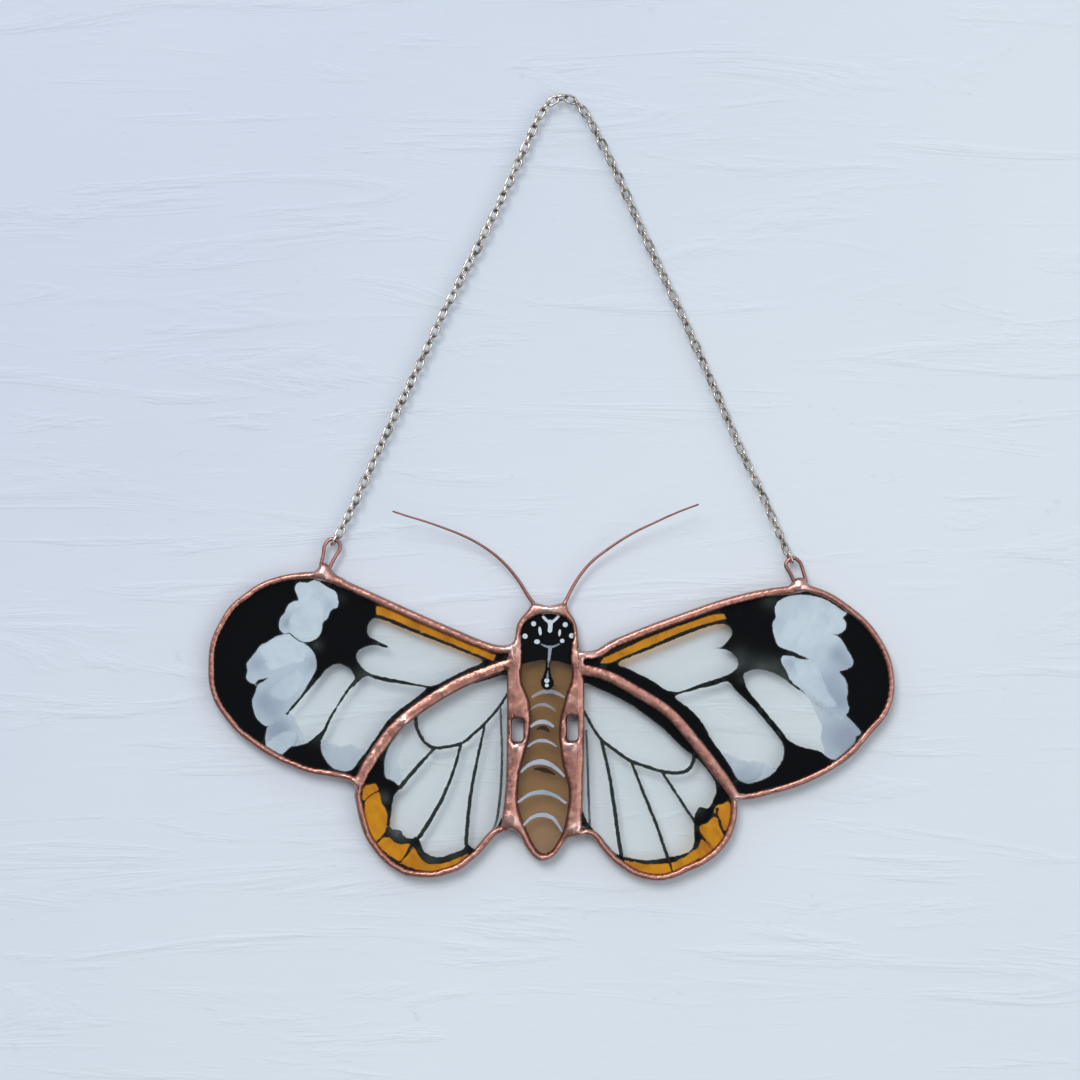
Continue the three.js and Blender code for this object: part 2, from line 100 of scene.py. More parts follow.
TOP_RIGHT = [
    (3, -129.4), (4.9, -129.7), (7.3, -129.3), (10.4, -127.4), (16.2, -124.9), (22.4, -122.5),
    (28.6, -120.3), (34.9, -118.1), (41.2, -116.3), (47.5, -115), (53.2, -114.3), (56, -113.8),
]
RIM_UPPER_RIGHT = [
    (56, -113.8), (61.8, -115.9), (66.3, -118.8), (70.7, -122.5), (73.8, -126.6), (76, -131),
    (77, -135.9), (76.8, -140.4), (75.1, -144.8), (71.9, -148.6), (68.1, -153), (64.4, -156.1),
    (59.4, -159.1), (53.2, -161.7), (47.5, -163.3), (43.1, -164.3), (40.2, -164.3),
]
RIM_LOWER_RIGHT = [
    (40.2, -164.3), (40.3, -167.1), (39.7, -170.6), (38.2, -174.1), (35.6, -177.2),
    (32.6, -179.4), (29.4, -180.9), (25.6, -182.6), (22.5, -183.3), (19.4, -183.1),
    (16.2, -182.2), (13.7, -180.7), (11.2, -178.8), (8.7, -176.2), (6.8, -173.7), (5.2, -172.7),
    (2.6, -173),
]
BODY_OPENING = [
    (-10.2, -125.5), (-9.6, -123.5), (-8.2, -122.1), (-6.1, -121.3), (-3.7, -121), (-1.6, -121.3),
    (0.4, -122.2), (1.5, -123.7), (1.8, -125.9), (1.3, -128.5), (1.2, -131.7), (1.7, -134.2),
    (1.5, -136.7), (0.6, -139.2), (-0.2, -142.2), (-1, -145.3), (-1.3, -148.7), (-1, -152.3),
    (-0.5, -155.8), (0.4, -159.1), (1, -162.3), (0.9, -165.5), (0.4, -168.5), (-0.2, -171.3),
    (-1.6, -174.2), (-3.3, -176.5), (-5, -177.1), (-6.4, -176.5), (-7.8, -174.5), (-9.3, -171.3),
    (-10.5, -168.3), (-11.2, -165.2), (-11.2, -161.5), (-10.8, -158.1), (-10.1, -155.2),
    (-9.1, -151.8), (-8.4, -148.7), (-8.1, -145), (-8.4, -142.2), (-9.1, -139.7), (-10.1, -137.5),
    (-10.4, -135), (-10, -131.7), (-10, -128.5),
]

# Where the black paint leaves the glass of a wing bare, or white or amber paint shows.
WHITE_UPPER_LEFT = [
    (-63, -114.2), (-62.1, -113.6), (-60.2, -113.7), (-59.3, -113.2), (-57.8, -113.2),
    (-56.9, -113.9), (-55.5, -114.8), (-53.9, -115.7), (-53.4, -116.7), (-53.3, -119.2),
    (-54.6, -119.8), (-55.3, -120.7), (-55.7, -121.9), (-56.7, -122.8), (-57.1, -124.7),
    (-57.6, -125.9), (-58.8, -126.9), (-60.7, -127.4), (-62.3, -127), (-63.5, -126.1),
    (-64.5, -125.2), (-65.6, -125.4), (-66.7, -124.5), (-66.9, -123.5), (-66.6, -121.9),
    (-65.6, -120.7), (-64.9, -119.1), (-63.7, -118.1), (-62.3, -117.7), (-62.5, -116.7),
    (-63.1, -115.3),
]
BLUISH_UPPER_LEFT = [
    (-66, -125.8), (-64.9, -125.6), (-63.7, -126.3), (-62.3, -127.3), (-61.1, -127.8),
    (-60, -128.7), (-59, -129.9), (-58.4, -131.5), (-58.4, -133.6), (-59.5, -135.9),
    (-61.4, -139.2), (-63.7, -142), (-66, -144.7), (-68.6, -146.6), (-70, -147), (-71, -146.3),
    (-72.1, -145.3), (-72.8, -143.4), (-73.1, -141.1), (-72.4, -139.2), (-71.9, -137.8),
    (-70.5, -136.7), (-69.3, -135.8), (-70.5, -135.9), (-71.9, -136.3), (-72.8, -137.1),
    (-74, -136.7), (-74.6, -135.5), (-74.2, -134.1), (-74.5, -132.7), (-73.5, -131.3),
    (-72.4, -129.9), (-71.2, -128.3), (-69.6, -127.5), (-67.7, -126.3),
]
WHITE_UPPER_RIGHT = [
    (52.2, -116.9), (54.3, -116.5), (56.9, -116.6), (59.3, -117.1), (61.6, -118), (63.5, -119.3),
    (65.1, -120.4), (65.8, -120.7), (64.9, -121.7), (65.5, -122.8), (65.6, -124), (64.6, -125.2),
    (63.5, -125.5), (62.3, -125.6), (63.9, -126.3), (65.1, -127.8), (66, -129.4), (66.9, -131),
    (67.3, -132.2), (67, -133.1), (65.6, -133.8), (63.9, -134.3), (64.9, -135.5), (65.8, -137.1),
    (66, -139.2), (65.8, -141.1), (66.3, -143.2), (65.6, -144.6), (64.6, -145.7), (60.9, -143.1),
    (56.9, -140.3), (55.7, -138.9), (54.3, -137.7), (52.7, -136.2), (51.8, -134.1), (50.6, -132),
    (50.8, -130.9), (53.2, -130.9), (55, -131.5), (57.1, -131.5), (57.1, -131.3), (55, -130.4),
    (53.2, -129.5), (51.1, -128.9), (49.9, -128.2), (49.2, -126.6), (48.7, -124.7),
    (48.7, -122.8), (49.4, -121.7), (49.1, -120), (49.6, -118.4), (51.3, -117.2),
]
WINDOWS = {
    "upper_left_wing": [
        WHITE_UPPER_LEFT, BLUISH_UPPER_LEFT,
        [
            (-53, -132.7), (-50.5, -133.8), (-49.4, -135.6), (-49.7, -138.1), (-51.5, -141.7),
            (-54.1, -145), (-56.3, -147.3), (-58.5, -149.5), (-60.2, -150.8), (-62.1, -151.5),
            (-64.2, -151.9), (-65.3, -152.8), (-66.5, -153.7), (-68.1, -153.3), (-69.6, -152.1),
            (-70.1, -150.5), (-70, -149.1), (-69.3, -147.5), (-65.8, -145.4), (-63.5, -143),
            (-60.8, -139.9), (-57.6, -136.1), (-55.3, -133.6),
        ],
        [
            (-46.2, -135.6), (-42.1, -136.3), (-37, -137.1), (-32.7, -138.1), (-35.5, -140.7),
            (-39.1, -143.4), (-42.1, -146.3), (-44.1, -149.3), (-46.2, -152.3), (-48.2, -154.9),
            (-50, -157.2), (-52.3, -157.5), (-54.8, -156.4), (-56.6, -153.9), (-57.1, -151.3),
            (-56.1, -147.8), (-52.8, -142.7), (-49.7, -138.6), (-48, -136.6),
        ],
        [
            (-44.9, -122.1), (-42.1, -122.6), (-39.1, -123.9), (-34.5, -125.7), (-29.4, -127.7),
            (-24.4, -129.7), (-19.5, -132), (-22.8, -133.6), (-26.9, -135.6), (-30.4, -137.4),
            (-32.2, -137.6), (-37, -136.6), (-42.1, -135.6), (-45.7, -134.6), (-47.7, -133),
            (-48.7, -131.3), (-48.5, -130), (-46.7, -128.7), (-44.7, -128.4), (-40.5, -129.1),
            (-42.6, -127.7), (-44.7, -126.7), (-45.9, -125.9), (-46.2, -124.4),
        ],
    ],
    "lower_left_wing": [
        [
            (-13.5, -135.5), (-19.1, -136.7), (-24.7, -138.6), (-29.5, -141.2), (-33.3, -143.6),
            (-36.3, -146.1), (-38.9, -148.9), (-41.1, -152), (-42.1, -154.8), (-42.2, -157.4),
            (-41.9, -159.1), (-39.8, -160.1), (-38.5, -161.7), (-39.6, -162.9), (-40.2, -164.9),
            (-40.6, -167.9), (-40.7, -170.9), (-38.5, -171.4), (-37.4, -173), (-35.9, -173.3),
            (-34.4, -172.8), (-33.7, -174.6), (-32.9, -176.3), (-31.2, -177.4), (-28.8, -177.6),
            (-26.6, -176.8), (-24.1, -175.9), (-22.8, -174.8), (-21, -175.7), (-19.1, -174.4),
            (-17.2, -172.2), (-15.7, -169.9), (-14.3, -167.3), (-13.1, -163.3), (-12.6, -157.5),
            (-12.6, -148.1), (-12.9, -138.8),
        ],
    ],
    "upper_right_wing": [
        WHITE_UPPER_RIGHT,
        [
            (43.7, -134.1), (41.9, -135.1), (42.1, -136.9), (43.1, -139), (45.2, -141.6),
            (47.8, -144.7), (50.4, -147.8), (52.4, -150.3), (55.5, -151.9), (59.6, -152.9),
            (62.2, -154.7), (65.3, -154.4), (67.4, -151.4), (67.9, -148.8), (65.8, -146.2),
            (62.7, -144.1), (59.6, -142.6), (57, -140.3), (53.4, -138), (49.8, -135.4),
            (46.2, -134.1),
        ],
        [
            (25.9, -140.3), (29.7, -139), (34.9, -137.7), (38, -136.9), (39.5, -138.5),
            (42.1, -141.1), (44.7, -143.6), (47.3, -146.7), (49.6, -149.6), (50.9, -151.6),
            (50.9, -154.4), (49.6, -156.8), (48.3, -158.3), (45.2, -159.9), (42.6, -160.4),
            (40.6, -159.6), (39, -157), (37, -153.9), (34.4, -150.3), (31.8, -145.7),
            (28.7, -142.6),
        ],
        [
            (12.5, -132.6), (19.4, -129.5), (24.6, -127.4), (29.7, -125.3), (34.9, -123.6),
            (37, -123.4), (38.5, -124.1), (38.9, -125.6), (38, -126.9), (37, -128.2),
            (34.5, -129), (37, -129.2), (38.8, -130), (40, -131.3), (40.3, -132.8), (39, -134.4),
            (37, -135.4), (32.3, -136.9), (26.1, -139), (23.6, -138.5), (20.5, -136.4),
            (17.9, -135.1), (14.8, -133.6),
        ],
    ],
    "lower_right_wing": [
        [
            (4, -137.4), (8.1, -138.7), (11.7, -140.3), (15.8, -142.6), (19.4, -145.2),
            (22.5, -147.5), (25.1, -150.1), (27.7, -152.6), (30.3, -154.4), (32.3, -156.5),
            (34.4, -159.3), (35.2, -161.7), (34.6, -164.2), (33.3, -166.2), (31.3, -166),
            (30.3, -167.8), (30, -170.4), (30, -174), (29.6, -175.7), (27.7, -176.9),
            (24.6, -177.6), (19.4, -178.4), (14.3, -177.6), (12.3, -177.1), (9.6, -174.5),
            (6.6, -171.2), (4.9, -168.7), (3.7, -164.5), (3.3, -157.5), (3.3, -148.1),
        ],
    ],
}
BRIDGES = {  # where white runs on between two windows
    "upper_left_wing": [
        [
            (-65.3, -144.4), (-67.7, -145.8), (-69.4, -147.1), (-69.7, -148.4), (-68.4, -148.8),
            (-64.9, -146.3),
        ],
    ],
    "upper_right_wing": [
        [
            (56.9, -138.8), (59.7, -139.7), (63.5, -142.5), (66.7, -145.8), (69.1, -148.8),
            (66.7, -149.3), (63.2, -146), (59.3, -142.5),
        ],
    ],
}
AMBER_STRIPS = {  # along the top and back along the bottom
    "left": (
        [
            (-44.1, -119.1), (-41.7, -119.8), (-39.1, -121), (-34, -123.3), (-28.1, -125.5),
            (-22.2, -128), (-16.4, -130.7),
        ],
        [
            (-16.9, -131.7), (-22.2, -129.6), (-27.6, -127.3), (-34, -124.8), (-38.6, -122.8),
            (-41.5, -121.7), (-44.1, -120.9),
        ],
    ),
    "right": (
        [
            (9.1, -131.3), (14.3, -128.9), (19.4, -126.6), (24.6, -124.6), (29.7, -122.8),
            (34.9, -121.1), (37, -121),
        ],
        [
            (37.5, -122), (34.9, -122.5), (29.7, -124.1), (24.6, -126.1), (19.4, -128.4),
            (14.3, -130.5), (10.2, -132.3), (8.4, -132.3),
        ],
    ),
}
AMBER_LOBES = {
    "left": [
        [
            (-46.6, -161.1), (-45.4, -160.9), (-44.5, -160.7), (-44, -161.5), (-43.8, -162.3),
            (-45.2, -162.9), (-46.4, -163.8), (-47.2, -164.5), (-47.3, -162.6),
        ],
        [
            (-45.2, -163.3), (-43.8, -162.5), (-43.3, -163.6), (-43.1, -165.2), (-42.2, -166.4),
            (-41.8, -168), (-41.9, -170.1), (-42.4, -172), (-43.6, -173.4), (-44.3, -173.9),
            (-45.4, -172), (-46.5, -169.2), (-46.8, -166.9), (-46.6, -164.8),
        ],
        [
            (-43.8, -174.4), (-42.6, -173.4), (-41, -173.4), (-40, -174.4), (-38.2, -174.9),
            (-36.3, -174.9), (-36.8, -176.5), (-37.9, -177.9), (-38.9, -178.6), (-40.7, -177.4),
            (-42.6, -176),
        ],
        [
            (-38.2, -179), (-36.8, -177.4), (-35.4, -175.8), (-34.7, -176.9), (-33.7, -178.3),
            (-32.1, -179.5), (-30, -179.6), (-27.4, -179), (-25.1, -178.1), (-22.7, -177.2),
            (-24.1, -178.8), (-26.5, -180.2), (-29.3, -180.9), (-32.6, -180.9), (-35.8, -180.2),
        ],
    ],
    "right": [
        [
            (35.4, -165.9), (36.8, -165.5), (38.2, -164.9), (38.6, -165.9), (38.8, -168),
            (38.5, -170.1), (37.7, -171.4), (36.8, -171.3), (36.4, -169.4), (35.8, -168),
            (34.9, -167.3),
        ],
        [
            (31.6, -170.6), (33.3, -169.9), (34.7, -168.5), (35.6, -168.9), (36.1, -170.6),
            (36.5, -171.8), (37, -173), (35.8, -174.6), (34.7, -175.8), (33.7, -174.4),
            (32.3, -172.7), (31.6, -171.5),
        ],
        [
            (13.8, -178.8), (15.7, -179), (18.7, -179.5), (22.2, -179.5), (25.1, -179.2),
            (27.6, -178.1), (29.7, -176.7), (31.4, -175.3), (31.9, -173.7), (33, -174.4),
            (34.2, -175.6), (33.7, -176.7), (31.1, -178.1), (28.3, -179.6), (25.1, -181),
            (22.2, -181.7), (18.7, -181.9), (16.2, -180.8),
        ],
    ],
}

# Brush lines: points, width at the start and at the end, and in the middle where that differs.
VEINS = {
    "upper_left_wing": [
        (
            [
                (-47.3, -134.5), (-50.4, -138.1), (-53.2, -142.3), (-55, -145.3), (-56.4, -148.4),
                (-58.3, -151.4),
            ],
            1.1, 1.2, 0.75,
        ),
        (
            [(-47.5, -134.3), (-44.5, -135.7), (-40.5, -136.7), (-34.9, -137.5), (-30.2, -138.3)],
            1.1, 0.8, 0.75,
        ),
    ],
    "lower_left_wing": [
        (
            [
                (-13.3, -139.2), (-15.5, -142.7), (-18.4, -146.1), (-21.5, -149), (-24, -151),
                (-27.8, -152), (-30.6, -152.2), (-32.6, -151.2), (-34.1, -149), (-34.9, -146.5),
                (-34.9, -143.9),
            ],
            0.9, 1.1,
        ),
        ([(-30.7, -152.4), (-34.7, -156.8), (-38.7, -161.5)], 1.0, 1.35),
        (
            [(-24.4, -151.5), (-25.9, -156.8), (-27.9, -162.2), (-30.9, -168), (-34.2, -173.2)],
            0.9, 1.3,
        ),
        (
            [(-18.7, -146.5), (-20.6, -155.2), (-22.1, -163.1), (-23.1, -173.4), (-23.1, -176)],
            0.85, 1.25,
        ),
    ],
    "upper_right_wing": [],
    "lower_right_wing": [
        (
            [
                (4.2, -143.2), (6.2, -147.1), (8.4, -150.2), (11.5, -152.7), (15, -155.1),
                (18.7, -156.5), (22.5, -157.7), (26.2, -158.1), (28.8, -157.3), (29.9, -155.6),
                (30.2, -153),
            ],
            0.9, 1.2,
        ),
        (
            [(8.5, -150.8), (10.3, -158.4), (11.5, -166.2), (12.8, -175.6), (13.2, -178.1)],
            1.05, 1.2,
        ),
        (
            [(15.5, -155.6), (18.7, -163.7), (21.2, -169.9), (23.4, -176.2), (24.1, -178.3)],
            0.95, 1.05,
        ),
        ([(22.8, -158.1), (26.2, -163.3), (30.4, -169.7)], 0.85, 0.95),
    ],
}
THIN_VEINS = {  # beside the body
    "left": (
        [(-15.2, -141.8), (-14.8, -154), (-15.2, -163.1), (-16.2, -169.7), (-17.8, -173.4)],
        0.75, 0.85,
    ),
    "right": ([(4.9, -148.1), (5.2, -155.2), (5.4, -161.5), (5.7, -170.4)], 0.75, 0.8),
}
BROWN_LINES = {  # drawn on the amber
    "left": [
        ([(-47.1, -165), (-45.9, -163.6), (-44.5, -162.7), (-43.6, -162.4)], 0.25, 0.3),
        ([(-42.2, -172.2), (-43.3, -173.8), (-44.3, -174.6)], 0.5, 0.3),
        ([(-36.1, -175.1), (-37, -176.7), (-38.6, -179)], 0.75, 0.25),
        ([(-23.7, -176.9), (-24.6, -178.8)], 0.3, 0.2),
        (
            [
                (-47.2, -168), (-45.9, -172.2), (-43.3, -175.8), (-40, -178.8), (-35.8, -180.7),
                (-31.6, -181.4),
            ],
            0.35, 0.3,
        ),
    ],
    "right": [
        ([(35.6, -166.4), (35.5, -167.8), (36.1, -169)], 0.9, 0.4),
        ([(36.1, -169.2), (36.4, -170.6), (37, -171.8)], 0.9, 0.7),
        ([(31.4, -172.2), (32.6, -173.9), (34, -175.8)], 0.45, 0.25),
        ([(24.1, -177.9), (24.6, -179.5), (25.2, -181.9)], 0.8, 0.45),
        ([(14.3, -179.7), (17.6, -181.3), (21.1, -182.1), (24.1, -181.9)], 0.3, 0.35),
    ],
}
HEAD_CAP = [
    (-12.9, -117.7), (5.9, -117.7), (5.9, -130.6), (1.6, -133), (-1.6, -132), (-5.4, -131.7),
    (-8.2, -132.2), (-10.3, -132.8), (-14.1, -130.6),
]
CLUB = (-4.2, -137, 1.6, 1.75)  # x, z and the two radii
CLUB_NECK = [(-3.9, -130.6), (-4.1, -133.6), (-4.2, -136.2)]
WHITE_LINES = [
    ([(-5.2, -121.5), (-4.6, -122.2), (-3.6, -123)], 0.75, 0.75),
    ([(-1.5, -121.3), (-2.2, -122.1), (-3.3, -123)], 0.75, 0.75),
    ([(-3.5, -122.6), (-3.5, -123.8), (-3.6, -125)], 1.2, 1.1),
]
WHITE_DOTS = [  # x, z, the two radii and the lean
    (-7.4, -123.2, 0.63, 0.63), (0, -123.4, 0.65, 0.65), (-9.4, -126.1, 0.66, 0.66),
    (1.5, -126, 0.66, 0.66), (-6.6, -127.4, 0.72, 0.6), (-0.7, -127.2, 0.56, 0.56),
    (-5.9, -124.9, 0.42, 1.1, 0.12), (-1.3, -125.3, 0.36, 0.88, -0.1), (-4.3, -136.5, 0.62, 0.6),
    (-4.3, -137.6, 0.52, 0.48),
]

# The wires and the chain.
HANGING_WIRES = {
    "left": [
        (-57, -111.1), (-57.2, -109.6), (-56.6, -106.9), (-56.3, -104.8), (-54.7, -103.3),
        (-52.9, -104.2), (-52.7, -105.5), (-54, -107.8), (-55.1, -110), (-55.7, -111.1),
    ],
    "right": [
        (54, -114.9), (53.7, -113.8), (52.7, -111.4), (51.6, -109.3), (53.2, -107.7),
        (54.9, -108.7), (55.7, -110.9), (56.2, -112.5), (56.4, -113.8), (56.2, -114.9),
    ],
}
ANTENNAE = {
    "left": [
        (-7, -119.4), (-7.4, -118.5), (-8.7, -116.7), (-10.5, -113.7), (-13.2, -110.2),
        (-16.4, -107.1), (-20.5, -104.3), (-24.5, -102.3), (-28.6, -100.7), (-32.6, -99.3),
        (-36.9, -98), (-40.2, -96.9),
    ],
    "right": [
        (-0.4, -119.1), (0, -118.1), (1.4, -115.3), (2.9, -112.7), (4.6, -110.4), (6.7, -108.2),
        (9.6, -106), (13.1, -103.6), (16.7, -101.5), (20.3, -99.8), (23.9, -98.1), (27.5, -96.6),
        (31, -95.3),
    ],
}
CHAIN_ROUTE = [
    (-54.3, -104.3), (-52.6, -101.5), (-49.5, -95.2), (-46, -87.7), (-42.6, -80.2), (-39, -72.7),
    (-35.4, -65.2), (-31.9, -57.7), (-28.4, -50.2), (-24.5, -42.7), (-20.6, -35.2),
    (-16.9, -27.8), (-13.3, -20.3), (-9.9, -12.8), (-7.3, -7), (-5.6, -3.6), (-3.4, -1.1),
    (-0.2, 0), (2.8, -1.5), (5.4, -4.6), (7.7, -9), (11.5, -16.5), (14.9, -24), (18.2, -31.5),
    (21.7, -39), (25.3, -46.5), (28.8, -54), (32, -61.5), (35.4, -69), (38.5, -76.5), (41.9, -84),
    (45.5, -91.5), (48.8, -98.9), (51.5, -105.2), (52.9, -108.5),
]

# The solder.
WING_LIP = 1.65  # width of the bead round the wings
TOP_LIP = 2.0  # and along their top edges
SEAM_LIP = 1.45  # half the bead between two wings
BODY_LIP = 1.5  # half the bead between a wing and the body
SLOTS = [(-12.5, -145.4, -9.8, -150.8), (0.4, -144.9, 3.0, -150.6)]  # left, top, right, bottom
MOUNDS = [  # solder that holds the two hanging wires
    [
        (-62.5, -112.3), (-60.4, -111.8), (-58.8, -111), (-57.7, -110), (-57.1, -108.9),
        (-56.2, -109.1), (-55.3, -109.6), (-54.8, -110.7), (-53.6, -111.8), (-51.3, -113.2),
        (-55, -114.4), (-59.3, -113.7),
    ],
    [
        (49.4, -115.1), (51.5, -114.8), (52.9, -113.9), (53.6, -112.9), (54.8, -112.4),
        (56, -112.6), (56.7, -113.7), (58.1, -114.8), (60.2, -115.8), (57.8, -117),
        (54.6, -116.3),
    ],
]
POOL_SWELLS_AND_HIGHLIGHTS = [  # where solder pooled at the joints, swelling it and with a painted highlight: x, z, radius
    (-12.7, -169.2, 1.5), (2.8, -170.9, 1.6), (-11.1, -151.9, 1.2), (1.6, -151.6, 1.2),
    (-37.7, -146.1, 1.3), (-12.6, -129.2, 1.6), (5.2, -130.6, 1.8), (-56.8, -111.9, 1.6),
    (55.2, -114.6, 1.5), (-49.3, -161.6, 1.2), (40.2, -164.3, 1.3), (-3.7, -119.6, 2.4),
]

# Soft spots of (x, z, radius, amount) in the black paint: thinner tone, and less cover.
SPOTS = {
    "upper_left_wing": (
        [
            (-58.1, -128.2, 1.4, 0.5), (-46.8, -135.7, 2.4, 0.8), (-49.9, -137.8, 1.6, 0.6),
            (-52.7, -117.2, 1.4, 0.25), (-57.8, -149.3, 2.0, 0.4),
        ],
        [(-58.3, -128.2, 1.1, 0.2), (-46.6, -135.9, 1.8, 0.3), (-53.6, -118.1, 0.9, 0.14)],
    ),
    "lower_left_wing": (
        [
            (-42.6, -163.8, 1.4, 0.8), (-38.2, -172.5, 2.2, 0.9), (-40.3, -171.5, 1.4, 0.8),
            (-31.6, -178.1, 2.6, 0.7), (-25.8, -176.7, 2.6, 0.6),
        ],
        [(-39.6, -172, 1.6, 0.35), (-41.9, -164.5, 1.2, 0.3), (-34.4, -176.2, 1.4, 0.3)],
    ),
    "upper_right_wing": (
        [
            (40.5, -131.7, 2.6, 0.8), (45.7, -133.6, 2.6, 0.9), (49.4, -133.6, 2.2, 0.8),
            (51.8, -136.4, 1.6, 0.7), (48, -117.7, 2.0, 0.5),
        ],
        [
            (46.1, -133.6, 2.6, 0.42), (41, -132.2, 1.8, 0.3), (50.8, -135.5, 1.6, 0.35),
            (40.5, -120.5, 1.3, 0.35), (53.2, -138.8, 1.3, 0.3), (41.2, -136.4, 1.2, 0.3),
        ],
    ),
    "lower_right_wing": ([(30.9, -166.4, 1.4, 0.6), (19.9, -178.3, 3.0, 0.5)], []),
}

# White paint: outline, cover, and spots of lavender tone and of thin cover.
MILKY = [
    (
        "upper_left_milk_1", ["upper_left_wing_white_paint_1"], WHITE_UPPER_LEFT, 0.95,
        [
            (-65.1, -122.8, 1.9, 0.8), (-54.8, -118.9, 1.8, 0.5), (-56.9, -121.9, 1.4, 0.4),
            (-62.1, -126.1, 1.6, 0.3),
        ],
        [(-65.3, -123.3, 1.0, 0.3)],
    ),
    (
        "upper_left_milk_2", ["upper_left_wing_white_paint_2"], BLUISH_UPPER_LEFT, 0.88,
        [
            (-72.4, -132.2, 2.4, 0.5), (-59, -132.7, 2.2, 0.6), (-71, -141.1, 2.4, 0.4),
            (-68.6, -144.4, 4.0, 0.5), (-66.7, -138.3, 9.0, 0.4),
        ],
        [(-60.2, -131.7, 1.6, 0.25)],
    ),
    (
        "upper_right_milk", ["upper_right_wing_white_paint_1"], WHITE_UPPER_RIGHT, 0.94,
        [
            (63.9, -130.1, 2.4, 0.7), (66.3, -132.7, 1.8, 0.5), (62.5, -138.3, 6.0, 0.75),
            (65.1, -142.5, 3.0, 0.4), (52.7, -132.7, 2.0, 0.6), (49.4, -122.8, 2.2, 0.3),
            (57.8, -122.8, 4.0, -0.3),
        ],
        [(51.8, -133.1, 1.8, 0.3)],
    ),
    (
        "upper_left_inner_milk", [],
        [
            (-67.2, -144.8), (-64.4, -144.4), (-62.8, -146.7), (-61.6, -149.1), (-61.4, -151.6),
            (-63.9, -153), (-66.5, -154.4), (-68.6, -153.7), (-70.7, -151.6), (-70.5, -148.6),
            (-69.3, -147.2),
        ],
        0.75, [(-67.7, -147.4, 3.0, 0.7), (-65.8, -150, 6.0, 0.6)], [(-62.1, -150.9, 1.8, 0.35)],
    ),
    (
        "upper_left_middle_milk", [],
        [
            (-57.4, -150.2), (-55, -151.2), (-52.5, -151.8), (-49.9, -151.4), (-48.5, -152.3),
            (-46.6, -153), (-49.9, -158), (-52.7, -158.4), (-55.5, -157), (-57.4, -154.4),
        ],
        0.45, [(-52.7, -154.7, 9.0, 0.7)], [],
    ),
    (
        "upper_right_inner_milk", [],
        [
            (56.9, -138.1), (60.7, -140.2), (64.9, -143.4), (68.9, -147.7), (68.6, -152.3),
            (65.8, -155.6), (61.6, -155.9), (60.7, -152.8), (60, -150), (60.2, -147.2),
            (58.3, -143),
        ],
        0.68, [(66.3, -150, 3.6, 0.5), (63.5, -149.8, 8.0, 0.75)], [(58.8, -142.5, 2.6, 0.35)],
    ),
    (
        "upper_right_middle_milk", [],
        [
            (36.8, -153.7), (39.8, -154.3), (42.2, -155.3), (45.2, -155.4), (47.5, -156.3),
            (49.9, -157.7), (48.5, -159.8), (42.6, -161.5), (39.6, -160.3), (37.2, -156.6),
        ],
        0.42, [(42.9, -158, 8.0, 0.55)], [],
    ),
    (
        "lower_left_milk", [],
        [
            (-42.6, -154), (-40.5, -150.5), (-38.2, -148.8), (-37.7, -151.6), (-39.1, -155.2),
            (-38.2, -159.1), (-39.6, -161.2), (-42.4, -159.8),
        ],
        0.35, [(-40.5, -156.3, 7.0, 0.4)], [(-37.9, -150.9, 2.0, 0.2)],
    ),
]
STROKES = [
    (
        "upper_left_stroke_1",
        [
            (-64.2, -125.6), (-64.9, -122.8), (-63.7, -120.5), (-61.8, -118.6), (-61.4, -117),
            (-59.7, -116), (-57.4, -117.7), (-56.9, -119.1), (-56.2, -121), (-57.6, -124.7),
            (-59.5, -126.8), (-62.1, -126.8),
        ],
        0.8,
    ),
    (
        "upper_left_stroke_2",
        [
            (-71.4, -129.4), (-69.1, -127.3), (-65.8, -125.9), (-63, -126.7), (-61.1, -128.5),
            (-60.4, -130.6), (-61.1, -132.1), (-63.9, -132.7), (-66.5, -133.6), (-69.3, -134.3),
            (-70.3, -132.2),
        ],
        1.0,
    ),
    (
        "upper_left_stroke_3",
        [
            (-66.7, -136.4), (-62.5, -133.6), (-61.1, -135.5), (-62.1, -138.8), (-64.6, -141.1),
            (-67.4, -141.1), (-69.6, -139.2),
        ],
        0.35,
    ),
    (
        "upper_left_stroke_4",
        [
            (-69.3, -150.2), (-66.7, -148.6), (-63.7, -147.9), (-62.5, -149.8), (-63.9, -152.3),
            (-66.5, -154.2), (-69.1, -153.3), (-70.5, -151.4),
        ],
        0.4,
    ),
    (
        "upper_right_stroke_2",
        [
            (53.2, -131.5), (55.7, -131.5), (58.5, -132.2), (60.2, -135.5), (61.6, -138.8),
            (63.9, -142.5), (61.6, -143), (57.8, -140.2), (55, -137.8), (54.1, -134.8),
        ],
        0.55,
    ),
    (
        "upper_right_stroke_3",
        [
            (38.6, -155.6), (43.3, -156.1), (46.1, -157.3), (45.2, -159.1), (42.2, -160.3),
            (39.1, -158.7),
        ],
        0.2,
    ),
]


# Lines and outlines, as arrays of [x, z].
SHARP_TURN = 0.15  # sine of the turn from which a moved corner keeps its point
SPIKE = 3  # how many widths a moved corner may lie from where it was


